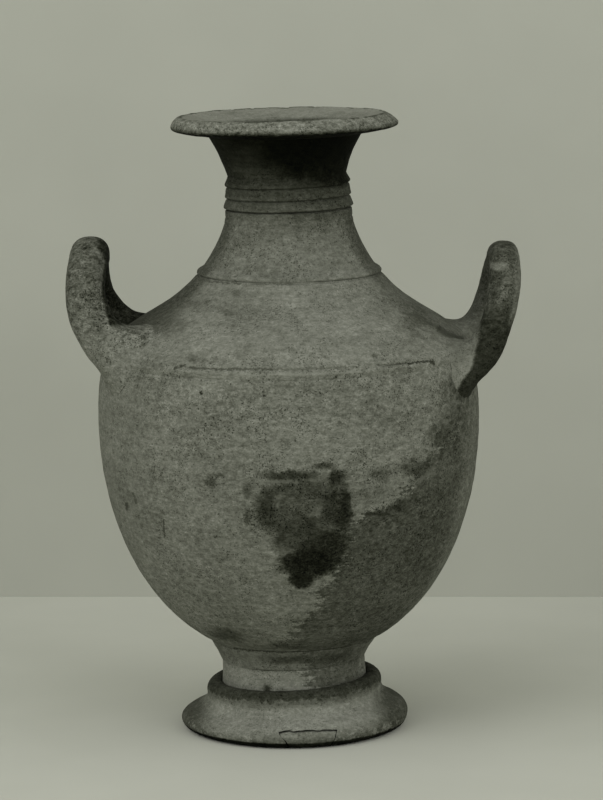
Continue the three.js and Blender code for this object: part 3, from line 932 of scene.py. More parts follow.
@dataclass(frozen=True)
class BodyClay(Clay):
    """The clay of stem, bowl, shoulder, neck and mouth, with the stains that it has from the ground, and some painted
    shade, shadow and light.
    """

    # From the top of the neck up, the tones darken as a painted shadow of the lip.
    heights: Table = (
        (11.0, 90.0), (13.0, 110.0), (16.0, 110.0), (17.5, 98.0), (22.3, 92.0), (24.0, 98.0), (34.0, 104.0),
        (60.0, 100.0), (94.0, 101.0), (104.0, 104.0), (112.0, 101.0), (120.0, 97.0), (126.0, 84.0), (128.2, 70.0),
        (131.0, 60.0), (134.5, 48.0), (137.0, 38.0), (141.0, 32.0), (146.0, 24.0),
    )
    spots: tuple[Spot, ...] = tuple(Spot(*row) for row in (
        # the stain on the belly
        (1.8, 62.0, 11.6, 8.2, 50, 0.85, 0.3), (3.2, 54.2, 8.0, 5.0, 44, 0.85, 0.35),
        (-5.6, 62.4, 2.4, 5.4, 36, 0.75, 0.7), (1.2, 63.4, 4.4, 2.8, 70, 0.8, 0.8),
        (5.8, 62.2, 2.0, 2.6, 84, 0.75, 0.8), (-3.3, 63.7, 1.2, 1.9, 76, 0.65, 0.8),
        (10.6, 61.6, 2.8, 7.0, 36, 0.8, 0.6), (-2.1, 51.6, 2.2, 2.0, 86, 0.75, 0.7),
        (-0.4, 70.1, 6.8, 1.3, 34, 0.8, 0.6), (10.7, 69.4, 2.1, 2.2, 25, 0.85, 0.6),
        (7.7, 72.1, 2.6, 1.0, 44, 0.75, 0.7), (12.6, 61.6, 1.6, 6.6, 26, 0.85, 0.5),
        (9.3, 53.9, 5.0, 2.8, 27, 0.85, 0.5), (7.2, 51.0, 6.4, 3.4, 27, 0.85, 0.5),
        (8.7, 57.4, 1.3, 1.3, 80, 0.7, 0.8), (3.6, 48.0, 7.2, 3.5, 19, 0.95, 0.4),
        (2.0, 44.2, 3.2, 2.4, 20, 0.95, 0.5), (-10.2, 66.6, 1.2, 1.8, 44, 0.75, 0.8),
        (-10.4, 60.0, 0.9, 2.2, 44, 0.75, 0.8),
        # marks round it
        (-18.6, 68.3, 1.8, 1.6, 48, 0.8, 0.7), (-16.5, 69.9, 1.6, 0.5, 60, 0.7, 0.8),
        (-20.5, 89.0, 0.45, 0.45, 24, 0.9, 0.6), (-17.9, 54.6, 0.6, 0.35, 36, 0.8, 0.6),
        (-0.4, 87.4, 11.5, 4.5, 90, 0.5, 0.9), (21.0, 69.0, 2.9, 1.3, 58, 0.7, 0.8),
        (18.5, 64.5, 4.0, 2.6, 80, 0.5, 0.9), (24.8, 60.7, 2.8, 1.4, 34, 0.75, 0.8),
        (29.6, 69.8, 3.8, 3.0, 50, 0.8, 0.7), (35.3, 75.8, 3.2, 3.0, 50, 0.8, 0.7),
        (39.4, 80.4, 4.2, 5.0, 60, 0.75, 0.8), (37.6, 87.4, 2.6, 2.6, 66, 0.7, 0.9),
        (31.0, 72.5, 2.4, 1.6, 104, 0.6, 0.8), (38.0, 68.0, 4.5, 2.0, 82, 0.55, 0.9),
        # the shoulder; its first spot, on the left edge, is painted shade where the light grazes it
        (-30.5, 102.8, 7.5, 2.8, 62, 0.75, 0.9), (-23.0, 106.6, 4.5, 1.4, 72, 0.6, 0.9),
        (-12.4, 109.7, 1.5, 0.8, 70, 0.65, 0.8), (-14.3, 105.8, 1.8, 0.9, 66, 0.65, 0.8),
        (-22.2, 96.3, 3.0, 1.0, 66, 0.65, 0.8), (19.8, 96.7, 0.9, 0.7, 66, 0.7, 0.8),
        (30.3, 102.3, 4.2, 3.0, 64, 0.6, 0.9), (34.5, 92.0, 4.5, 5.0, 112, 0.6, 0.9),
        (41.5, 86.5, 3.2, 3.4, 46, 0.8, 0.6), (-18.5, 100.5, 5.4, 2.8, 122, 0.45, 0.9),
        (1.3, 91.1, 5.4, 1.1, 80, 0.6, 0.8), (-24.1, 92.3, 4.8, 0.9, 80, 0.6, 0.8),
        # under the bowl, and the stem
        (-16.0, 27.4, 4.4, 2.6, 52, 0.75, 0.8), (-1.1, 24.9, 5.4, 1.6, 54, 0.65, 0.8),
        (-0.9, 20.3, 7.0, 1.4, 48, 0.75, 0.8), (9.5, 20.0, 5.0, 1.8, 46, 0.75, 0.8),
        (-6.6, 12.4, 1.0, 1.2, 30, 0.85, 0.7),
        # a painted shadow of the lip on the mouth
        (6.6, 142.2, 14.0, 6.8, 6, 0.97, 0.45), (12.5, 136.8, 8.0, 3.6, 12, 0.9, 0.6),
    ))
    strokes: tuple[Stroke, ...] = tuple(Stroke(*row) for row in (
        ((-5.3, 68.7), (1.2, 68.6), 0.3, 94, 0.6), ((-30.1, 57.7), (-30.3, 53.0), 0.12, 48, 0.8),
        ((-39.4, 59.6), (-39.4, 58.2), 0.3, 45, 0.7), ((-37.7, 62.9), (-37.0, 60.6), 0.2, 55, 0.7),
        ((20.2, 94.7), (27.8, 94.3), 0.1, 56, 0.8), ((27.8, 94.3), (33.4, 94.1), 0.14, 42, 0.85),
        ((33.4, 94.1), (34.1, 93.3), 0.2, 36, 0.8), ((-26.9, 94.1), (-24.1, 95.0), 0.16, 46, 0.8),
        ((-23.1, 94.5), (-4.0, 94.75), 0.14, 60, 0.75), ((-4.0, 94.75), (16.0, 94.75), 0.12, 74, 0.6),
        # the first stroke on the next line is a painted highlight where the bead under the seam catches the light
        ((-12.0, 93.4), (17.0, 93.5), 0.25, 124, 0.45), ((17.9, 59.8), (22.6, 59.2), 0.3, 34, 0.75),
        ((30.1, 66.3), (33.5, 68.4), 0.5, 96, 0.6), ((-20.2, 111.6), (-11.2, 111.9), 0.1, 58, 0.7),
        ((-8.4, 111.9), (1.1, 111.9), 0.1, 64, 0.7), ((-14.7, 22.3), (1.5, 22.6), 0.12, 42, 0.85),
        ((1.5, 22.6), (14.1, 22.9), 0.12, 48, 0.8), ((-9.5, 17.0), (6.0, 17.2), 0.1, 56, 0.7),
        # the two strokes below are painted shade in the crease by the right handle's root
        ((29.5, 103.4), (36.0, 99.6), 0.25, 50, 0.55), ((36.0, 99.6), (41.6, 96.1), 0.4, 42, 0.65),
    ))
    shadow_edge: Table = (
        (10.0, 6.0), (16.0, 3.0), (22.6, 1.0), (26.7, -1.0), (31.0, 0.5), (34.5, 4.4), (39.0, 6.4), (41.8, 7.4),
        (46.0, 9.0), (50.4, 10.8), (54.2, 12.6), (58.0, 14.2), (60.2, 16.0), (61.2, 21.5), (62.5, 26.0),
        (65.0, 27.4), (69.0, 29.4), (72.0, 32.5), (75.0, 36.0), (78.0, 39.5), (83.0, 41.0), (94.6, 43.0),
    )
    side_shade_tones: Table = ((97.0, 56.0), (106.0, 52.0), (112.0, 60.0), (127.0, 62.0))
    shade_tones: Table = ((20.0, 72.0), (30.0, 70.0), (50.0, 61.0))
    shade_patches: float = 50.0
    shade_levels: Pair = (95.0, 93.0)
    shade_turn: Pair = (1.0, 1.25)
    edge_grain: float = 0.08
    edge_streaks: float = 13.0
    edge_width: Pair = (-1.0, 1.6)
    side_shade_turns: tuple[Pair, Pair] = ((0.93, 1.22), (2.4, 1.9))
    side_shade_levels: tuple[Pair, Pair] = ((97.0, 100.0), (138.0, 127.0))
    side_shade_right: Pair = (18.0, 26.0)
    smooth_side: Pair = (-41.0, -30.0)
    front: Pair = (-1.0, -6.0)
    coarse: Table = (
        (11.0, 0.75), (23.0, 0.8), (30.0, 1.0), (80.0, 1.05), (88.0, 1.2), (94.0, 1.0), (99.0, 0.8), (127.0, 0.85),
        (136.0, 0.6), (140.0, 0.3), (146.0, 0.2),
    )

    def coarseness(self, tree: Tree, place: Tone) -> Tone:
        """How strong the weathering is by height, and weaker towards the left side, which is worn smooth."""
        x, _, z = tree.parts(place)
        return tree.table(z, self.coarse) * (tree.step(x, *self.smooth_side, 0.25) + 0.75)

    def base(self, tree: Tree, place: Tone) -> Tone:
        """The tone by height: darker at the stem's foot and under the bowl, and from the neck's top up a painted shadow
        of the lip.
        """
        return tree.table(tree.parts(place)[2], self.heights)

    def stained(self, tree: Tree, place: Tone, tone: Tone, marks: Marks) -> Tone:
        """Adds the dark lower right, partly a stain and partly painted shade, with a painted light towards the right
        side, the painted shade on the sides of shoulder and neck, and each spot and stroke of the front.

        A stain's edge is ragged because its place is moved about by two noises first, less so for a small
        stain. A spot's mask falls from 1 to 0 with the distance from its middle, measured in its own half
        sizes. A stroke's falls with the distance from its line. Both are held to the front by the y of the
        place.

        Args:
            tree: The material's nodes.
            place: The place on the jar.
            tone: The tone without stains.
            marks: The clay's noises.

        Returns:
            The tone with its stains.
        """
        x, y, z = tree.parts(place)
        drift, jag = tree.drift(place, 3.6, 7.0), tree.drift(place, 0.7, 1.6)
        flat = tree.vector("ADD", tree.vector("MULTIPLY", place, (1.0, 0.0, 1.0)), jag)
        loose = {share: tree.vector("MULTIPLY_ADD", drift, (share, 0.0, share), flat) for share in (0.15, 0.5, 1.0)}
        edge_x, _, edge_z = tree.parts(loose[1.0])
        # The dark lower right is partly a stain and partly painted shade.
        beyond = edge_x - tree.table(edge_z, self.shadow_edge)
        beyond = beyond - marks.weathering * self.edge_grain - (marks.streaks - 0.5) * self.edge_streaks
        turn = tree.math("ARCTAN2", edge_x, y * -1)
        dark = tree.step(beyond, *self.edge_width, 0.9) * tree.step(z, *self.shade_levels)
        # Towards the right side the dark gives way to a painted light round the silhouette.
        dark = dark * (1 - tree.step(turn, *self.shade_turn, 0.7))
        shade = tree.table(z, self.shade_tones) + (marks.patches - 0.5) * self.shade_patches
        tone = tree.blend(tone, shade + marks.weathering * 1.05, dark)
        # Painted shade on the sides of the shoulder and neck, where they turn away from the front.
        aside = tree.math("ABSOLUTE", turn)
        (start, end), (low, high) = self.side_shade_turns, self.side_shade_levels
        side_shade = tree.step(aside, *start, 0.75) * tree.step(aside, *end)
        side_shade = side_shade * tree.step(z, *low) * tree.step(z, *high) * (1 - tree.step(x, *self.side_shade_right, 0.5))
        tone = tree.blend(tone, marks.weathering + tree.table(z, self.side_shade_tones), side_shade)
        plain = tone
        for spot in self.spots:
            size = min(spot.wide, spot.high)
            moved = loose[0.15 if size < 1.2 else 0.5 if size < 3.0 else 1.0]
            scale = (1 / spot.wide, 0.0, 1 / spot.high)
            centre = (-spot.x * scale[0], 0.0, -spot.z * scale[2])
            away = tree.vector("LENGTH", tree.vector("MULTIPLY_ADD", moved, scale, centre))
            mask = tree.step(away, 1 + spot.soft / 2, 1 - spot.soft, spot.strength)
            tone = tree.blend(tone, marks.weathering * 0.9 + spot.tone, mask)
        for stroke in self.strokes:
            (x0, z0), (x1, z1) = stroke.start, stroke.end
            along = (x1 - x0, 0.0, z1 - z0)
            length = math.hypot(along[0], along[2])
            start = tree.vector("ADD", loose[0.15], (-x0, 0.0, -z0))
            share = tree.vector("DOT_PRODUCT", start, tuple(part / length**2 for part in along))
            share = tree.math("MINIMUM", tree.math("MAXIMUM", share, 0.0), 1.0)
            away = tree.vector("LENGTH", tree.vector("MULTIPLY_ADD", share, tuple(-part for part in along), start))
            mask = tree.step(away, stroke.half_width * 2.2, stroke.half_width * 0.4, stroke.strength)
            tone = tree.blend(tone, stroke.tone, mask)
        return tree.blend(plain, tone, tree.step(y, *self.front))


BODY = BodyClay("body_clay", tone=104)
FOOT = FootClay("foot_clay", tone=114, patches=34, weathering=72, pit_depth=24)
LIP = LipClay("lip_clay", tone=99, patches=40, weathering=150, pit_depth=50, crumbs=18)
HANDLE = HandleClay("handle_clay", tone=76, streaks=4, weathering=110, patches=34)
FRAGMENT = FootClay("fragment_clay", tone=92, weathering=80, pit_depth=20, flank_tone=92, worn_tone=96)


# Pieces
def placed(name: str, data: bpy.types.ID) -> bpy.types.Object:
    """A new object in the scene, with its mesh, light or camera."""
    thing = bpy.data.objects.new(name, data)
    bpy.context.scene.collection.objects.link(thing)
    return thing


def dressed(name: str, mesh: bpy.types.Mesh, material: bpy.types.Material, node: str) -> None:
    """Puts a finished piece into the scene.

    Args:
        name: The piece's name.
        mesh: Its mesh, in place.
        material: Its finish.
        node: The CAD node that it stands for.
    """
    piece = placed(name, mesh)
    mesh.materials.append(material)
    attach(piece, "root")
    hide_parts(node)
    LOG.info("%s stands for %s: %d faces", name, node, len(mesh.polygons))


@dataclass
class Turnings:
    """The sections of the jar that were turned on the wheel."""

    columns: int = 400
    narrow_columns: int = 320
    seam_rings: tuple[Ring, ...] = (
        Ring(SEAM_LEVEL, -0.5, 0.26),
        Ring(93.45, 0.24, 0.5),
        Ring(92.1, -0.14, 0.25),
        Ring(30.4, -0.07, 0.3),
        Ring(28.2, -0.06, 0.25),
        Ring(23.15, -0.2, 0.16),
    )
    neck_rings: tuple[Ring, ...] = (
        Ring(NECK_LEVEL - 0.3, -0.2, 0.16, 0.9),
        Ring(125.9, -0.08, 0.3),
        Ring(124.3, -0.06, 0.25),
    )
    stem_rings: tuple[Ring, ...] = (
        Ring(17.0, -0.16, 0.2, 0.8),
        Ring(BOWL_LEVEL, -0.28, 0.2),
        Ring(21.7, -0.14, 0.16, 0.8),
    )

    def bowl(self) -> Surface:
        """The belly: outside line, seat and rebate, inside line, floor, and the recess under it."""
        levels = tuple(ring.level for ring in self.seam_rings)
        floor, fillet = BOWL_LEVEL + 6, BOWL_LEVEL + 10
        floor_radius = radius_at(WALL.inside, floor)
        flat_floor = (floor_radius - 4, floor)
        recess = BOWL_LEVEL + 2.1
        return turned(
            [
                Run(line_of((0, recess), (12.3, recess), (12.3, BOWL_LEVEL), (BOWL_RADIUS, BOWL_LEVEL)), step=3.0),
                Run(WALL.bowl, step=0.58, relief=1.0, levels=levels),
                WALL.rebate(SEAM_LEVEL, SEAM_RADIUS),
                Run(WALL.inner(fillet, SEAM_LEVEL).line, step=3.2, relief=0.4),
                Run(bend(6, (radius_at(WALL.inside, fillet), fillet), (floor_radius, floor), flat_floor)),
                Run(line_of(flat_floor, (0, floor)), step=4.0),
            ],
            self.columns,
            Relief(rings=self.seam_rings),
        )

    def shoulder(self) -> Surface:
        """The sloping shoulder, whose lower edge stands a little proud of the bowl."""
        line = WALL.shoulder.copy()
        line[0, 0] += 0.35
        line[1, 0] += 0.15
        return turned(
            [
                WALL.spigot(SEAM_LEVEL),
                Run(line, step=0.5, relief=1.0, levels=(SEAM_LEVEL, NECK_LEVEL)),
                WALL.rebate(NECK_LEVEL, NECK_RADIUS),
                WALL.inner(SEAM_LEVEL, NECK_LEVEL),
            ],
            self.columns,
            Relief(rings=(self.seam_rings[0], self.neck_rings[0]), wheel=0.03),
        )

    def neck(self) -> Surface:
        """The neck, with a faint half bead at its root."""
        top = NECK_LEVEL + 1.8
        end = (radius_at(WALL.neck, top), top)
        bead = bend(12, (NECK_RADIUS, NECK_LEVEL), (22.85, NECK_LEVEL + 0.8), (22.0, top - 0.5), end)
        outside = np.vstack([bead, WALL.neck[WALL.neck[:, 1] > top + 0.2]])
        return turned(
            [
                WALL.spigot(NECK_LEVEL),
                Run(outside, step=0.4, relief=1.0, levels=(NECK_LEVEL, 125.9, 124.3)),
                WALL.rebate(COLLAR_LEVEL, COLLAR_RADIUS),
                WALL.inner(NECK_LEVEL, COLLAR_LEVEL),
            ],
            self.narrow_columns,
            Relief(rings=self.neck_rings, swell=0.05),
        )

    def collar(self) -> Surface:
        """The collar: three ridges. Each has a sharp lip over an undercut groove, and falls back gently above."""
        ridges = line_of(
            (15.4, 127.0), (15.35, 127.6), (15.1, 127.85), (14.72, 127.95), (14.66, 128.1), (15.2, 128.18),
            (15.6, 128.3), (15.74, 128.5), (15.68, 128.8), (15.5, 129.3), (15.3, 129.8), (15.15, 130.2),
            (14.9, 130.5), (14.66, 130.62), (14.68, 130.75), (15.1, 130.85), (15.3, 131.0), (15.34, 131.2),
            (15.25, 131.5), (15.15, 132.0), (15.1, 132.6), (15.0, 133.1), (14.8, 133.4), (14.66, 133.55),
            (14.7, 133.7), (15.05, 133.8), (15.22, 134.0), (15.22, 134.3), (15.05, 134.7), (14.8, 135.2),
            (14.55, 135.7), (14.4, 136.1),
        )
        return turned(
            [
                WALL.spigot(COLLAR_LEVEL),
                Run(ridges, step=0.14, relief=1.0),
                WALL.rebate(MOUTH_LEVEL, MOUTH_RADIUS),
                WALL.inner(COLLAR_LEVEL, MOUTH_LEVEL),
            ],
            self.narrow_columns,
            Relief(swell=0.04, lumps=0.07, grain=0.035, wheel=0.02, pits=0.16, pit_size=1.2),
        )

    def mouth(self) -> Surface:
        """The flare under the lip, whose spigot stands up into it."""
        lap_radius, lap_top = WALL.split(LIP_LEVEL - WALL.lap) + WALL.thickness / 4, LIP_LEVEL + 1.2
        return turned(
            [
                WALL.spigot(MOUTH_LEVEL),
                Run(WALL.mouth, step=0.4, relief=1.0),
                Run(line_of((LIP_RADIUS, LIP_LEVEL), (lap_radius, LIP_LEVEL), (lap_radius, lap_top)), step=1.2),
                Run(between(WALL.inside, MOUTH_LEVEL - WALL.lap, lap_top)[::-1], step=1.5, relief=0.4),
            ],
            self.narrow_columns,
            Relief(swell=0.04),
        )

    def lip(self) -> Surface:
        """The lip: a dished plate with a bevelled, worn edge."""
        rebate = LIP_LEVEL + 1.5
        seat = WALL.split(LIP_LEVEL - WALL.lap) + WALL.thickness / 4 + WALL.gap
        throat = radius_at(WALL.inside, rebate)
        arris = (24.5, TOP_LEVEL - 0.15)
        edge = np.vstack([
            line_of((LIP_RADIUS, LIP_LEVEL)),
            bend(8, (23.5, LIP_LEVEL + 0.8), (26.4, LIP_LEVEL + 1.3), (27.0, LIP_LEVEL + 1.55)),
            bend(8, (27.0, LIP_LEVEL + 1.55), (27.7, LIP_LEVEL + 1.85), (27.5, LIP_LEVEL + 2.55)),
            bend(8, (27.5, LIP_LEVEL + 2.55), (26.8, TOP_LEVEL - 1.1), (25.3, TOP_LEVEL - 0.2)),
            bend(4, (25.3, TOP_LEVEL - 0.2), (24.95, TOP_LEVEL), arris),
        ])
        dish = bend(30, arris, (17.4, TOP_LEVEL - 1.7), (throat + 0.3, TOP_LEVEL - 1.9), (throat, rebate))
        return turned(
            [
                Run(line_of((seat, LIP_LEVEL), (LIP_RADIUS, LIP_LEVEL)), step=1.5),
                Run(edge, step=0.3, relief=1.0),
                Run(dish, step=0.45, relief=0.7),
                Run(line_of((throat, rebate), (seat, rebate), (seat, LIP_LEVEL + 0.2)), step=1.2),
            ],
            self.columns,
            Relief(swell=0.06, lumps=0.1, grain=0.07, wheel=0.02, pits=0.18, pit_size=1.7, pit_share=0.5),
        )

    def stem(self) -> Surface:
        """The stem, closed on top with a boss, and hollow underneath."""
        hollow, boss = STEM_LEVEL + 7, BOWL_LEVEL + 1.8
        outside = np.vstack([
            bend(12, (STEM_RADIUS, STEM_LEVEL), (17.5, 13.0), (17.5, 16.9)),
            bend(20, (17.6, 17.1), (18.4, 19.2), (BOWL_RADIUS, BOWL_LEVEL)),
        ])
        return turned(
            [
                Run(line_of((0, hollow), (9.0, hollow), (12.6, STEM_LEVEL), (STEM_RADIUS, STEM_LEVEL)), step=3.0),
                Run(outside, step=0.35, relief=1.0),
                Run(line_of((BOWL_RADIUS, BOWL_LEVEL), (12, BOWL_LEVEL), (12, boss), (0, boss)), step=3.0),
            ],
            self.narrow_columns,
            Relief(rings=self.stem_rings, swell=0.05),
        )

    def foot(self) -> Surface:
        """The whole foot: a spread with a rounded edge, under a thick moulded ring that is the stem's socket."""
        spread = np.vstack([
            bend(8, (24.2, 0.0), (26.7, 0.1), (27.4, 1.2)),
            bend(14, (27.4, 1.2), (28.5, 2.8), (27.9, 4.3), (25.1, 5.5)),
            bend(14, (25.1, 5.5), (22.2, 6.7), (21.75, 7.7), (21.45, 8.9)),
        ])
        ring = arc((19.1, 10.1), 2.42, -13.0, 117, 30)
        return turned(
            [
                Run(spread, step=0.4, relief=1.0),
                Run(ring, step=0.3, relief=0.8),
                Run(line_of((18.0, STEM_LEVEL), (12.6, STEM_LEVEL)), step=2.0),
                Run(line_of((12.6, STEM_LEVEL), (21.2, 0.0)), step=2.0, relief=0.4),
                Run(line_of((21.2, 0.0), (24.2, 0.0)), step=1.2),
            ],
            self.columns,
            Relief(swell=0.07, lumps=0.09, grain=0.04, pits=0.3, pit_size=2.0),
        )


class Side(Enum):
    """The two handles, by the side of the jar that they are on."""

    LEFT = "left"
    RIGHT = "right"


@dataclass
class Handle:
    """A roll of clay bent to an upright loop, with its roots smoothed into the wall."""

    side: Side
    azimuth: float
    radius: float
    root_span: float
    root: Pair
    turn: Pair
    top: Pair
    squareness: float = 2.35
    root_flare: float = 3.0
    fillet: float = 4.0
    far_fillet: float = 7.5
    sink: float = 0.34
    tuck: float = 0.9
    lumps: tuple[Triple, ...] = ((0.2, 9.0, 0.0), (0.1, 3.4, 20.0), (0.05, 1.3, 0.0))
    dent: float = 0.25
    dent_size: float = 2.0
    around: int = 72
    along: int = 190

    def path(self, angle: np.ndarray) -> np.ndarray:
        """The roll's middle line.

        Outwards and up it is a bend from the root over the turn to the top, read at t = sin(angle). Seen
        from outside it is half an ellipse, so y is -span sqrt(1 - climb^2) with the sign of cos(angle).

        Args:
            angle: From 0 at the front root to pi at the back root.

        Returns:
            Points, one a row, before the turn to the handle's azimuth.
        """
        t = np.sin(angle)[:, None]
        controls = [np.array(p) + (0, SEAM_LEVEL) for p in (self.root, self.turn, self.top)]
        flat = (1 - t) ** 2 * controls[0] + 2 * t * (1 - t) * controls[1] + t**2 * controls[2]
        climb = (flat[:, 1] - controls[0][1]) / (controls[2][1] - controls[0][1])
        aside = self.root_span * np.sqrt(np.maximum(1 - climb**2, 0))
        return np.column_stack([flat[:, 0], -aside * np.sign(np.cos(angle)), flat[:, 1]])

    def surface(self) -> Surface:
        """The roll from wall to wall.

        Round the middle line, a corner lies at the middle plus the radius times (cos a across + sin a
        upright). Each line of corners is cut where it meets the wall, and its corners are drawn together
        there. Within the fillet's radius f of the wall, at a distance d, a corner moves along the wall by
        f - sqrt(f^2 - (f - d)^2), which leaves the roll and meets the wall without a corner. Lumps move it
        outwards, and next to the wall it follows the wall's relief, sunk a little into it.

        Returns:
            The closed surface, its ends just under the wall's outside.
        """
        dense = np.linspace(0.002, math.pi - 0.002, 700)
        middle = self.path(dense)
        ahead = np.gradient(middle, axis=0)
        ahead /= np.linalg.norm(ahead, axis=1, keepdims=True)
        across = np.cross(ahead, (1.0, 0.0, 0.0))
        across /= np.linalg.norm(across, axis=1, keepdims=True)
        upright = np.cross(ahead, across)
        turn = np.linspace(0, 2 * math.pi, self.around, endpoint=False)
        power = self.squareness
        square = (np.abs(np.cos(turn)) ** power + np.abs(np.sin(turn)) ** power) ** (-1 / power)

        def corner(angle: np.ndarray) -> tuple[np.ndarray, np.ndarray]:
            """Corners and their directions from the middle line, for angles on a grid of rows and columns."""
            frames = [
                np.stack([np.interp(angle, dense, part[:, k]) for k in range(3)], axis=-1)
                for part in (middle, across, upright)
            ]
            out = frames[1] * np.cos(turn)[:, None] + frames[2] * np.sin(turn)[:, None]
            size = self.radius * square + self.root_flare * (1 - np.sin(angle)) ** 3
            return frames[0] + out * size[..., None], out

        tried = dense[::4]
        outside = WALL.distance(corner(np.broadcast_to(tried[:, None], (len(tried), self.around)))[0])[0] > 0
        first = tried[np.argmax(outside, axis=0)]
        last = tried[len(tried) - 1 - np.argmax(outside[::-1], axis=0)]
        w = np.linspace(0, 1, self.along)[:, None]
        w = w - 0.9 * np.sin(2 * math.pi * w) / (2 * math.pi)
        points, out = corner(first + (last - first) * w)
        gap, normal = WALL.distance(points)
        gap = np.maximum(gap, 0)
        slide = out - (out * normal).sum(-1, keepdims=True) * normal
        slide /= np.maximum(np.linalg.norm(slide, axis=-1, keepdims=True), 0.15)
        neckward = np.clip(slide[..., 2], 0, 1)
        fillet = self.fillet + (self.far_fillet - self.fillet) * neckward * rise(points[..., 1], -10, 10)
        near = np.clip(fillet - gap, 0, fillet)
        points = points + (fillet - np.sqrt(np.maximum(fillet**2 - near**2, 0)))[..., None] * slide
        lumps = sum(height * NOISE.at(points + shift, size) for height, size, shift in self.lumps)
        lumps -= self.dent * rise(NOISE.at(points + 5, self.dent_size), 0.5, 0.85)
        points = points + (lumps * rise(gap, 0.2, 2.0))[..., None] * out
        now, normal = WALL.distance(points)
        cos, sin = math.cos(self.azimuth), math.sin(self.azimuth)
        to_place = np.array([(cos, sin, 0.0), (-sin, cos, 0.0), (0.0, 0.0, 1.0)])
        follow = Relief().height((points - now[..., None] * normal) @ to_place)
        sunk = gap + (follow - self.sink) * (1 - rise(gap, 0, 1.6))
        points = points + ((sunk - now) * rise(-gap, -fillet.max(), 0))[..., None] * normal
        inner = points[[0, -1]] - self.tuck * normal[[0, -1]]
        points = np.concatenate([inner[:1], points, inner[1:]]) @ to_place
        tube = capped(points)
        return Surface(askew(tube.corners), tube.faces)


@dataclass
class Mend:
    """The broken piece of the foot's edge, and the cracks round it."""

    middle: float = 3.2
    bottom_width: float = 9.4
    top_width: float = 13.6
    lean: float = 0.8
    height: float = 4.1
    back: float = 23.6
    crack: float = 0.26
    depth: float = 30.0
    step: float = 0.45
    raggedness: Pair = (0.28, 0.12)
    sharp_angle: float = 38.0

    def block(self, grow: float) -> Surface:
        """A ragged block: the piece's outline on the foot's front, carried back into the foot.

        The outline is a trapezium. Its corners move out by the growth and by a noise of their place, so that
        the crack runs like a break.

        Args:
            grow: How much wider the block is than the piece.

        Returns:
            The closed block.
        """
        half_low, half_high, top = self.bottom_width / 2, self.top_width / 2, self.height
        left, right = self.lean - half_low, self.lean + half_low
        outline = refined(
            line_of((left, -3), (right, -3), (right, 0), (half_high, top), (-half_high, top), (left, 0), (left, -3)),
            self.step,
        )[:-1]
        depths = np.linspace(self.depth, self.back - grow, 12)
        flat = np.broadcast_to(outline, (len(depths),) + outline.shape)
        y = np.broadcast_to(-depths[:, None], flat.shape[:2])
        points = np.stack([flat[..., 0] + self.middle, y, flat[..., 1]], axis=-1)
        wander, finer = (
            np.stack([NOISE.at(points * (1, 0.4, 1) + shift, size) for shift in shifts], axis=-1)
            for size, shifts in ((1.7, (3.0, 60.0, 90.0)), (0.7, (5.0, 62.0, 95.0)))
        )
        points = points + (self.raggedness[0] * wander + self.raggedness[1] * finer) * rise(points[..., 2:], -0.5, 0.6)
        points[..., 0] += np.interp(points[..., 0] - self.middle, (-2.5, 2.5), (-1.7, 1.0)) * grow
        points[..., 2] *= 1 + 1.6 * grow / top
        return capped(points, inside_out=True)

    def cut(self, whole: bpy.types.Mesh, block: bpy.types.Mesh, operation: str, name: str) -> bpy.types.Mesh:
        """What a Boolean modifier leaves of a mesh.

        Args:
            whole: The mesh that is cut.
            block: The mesh that it is cut with, which is removed afterwards.
            operation: DIFFERENCE or INTERSECT.
            name: The result's name.

        Returns:
            The new mesh.
        """
        objects = [placed(name + part, mesh) for part, mesh in (("_whole", whole), ("_block", block))]
        modifier = objects[0].modifiers.new("cut", "BOOLEAN")
        modifier.object, modifier.operation, modifier.solver = objects[1], operation, "EXACT"
        graph = bpy.context.evaluated_depsgraph_get()
        result = bpy.data.meshes.new_from_object(objects[0].evaluated_get(graph))
        result.name = name
        for one in objects:
            bpy.data.objects.remove(one)
        bpy.data.meshes.remove(block)
        result.set_sharp_from_angle(angle=math.radians(self.sharp_angle))
        return result


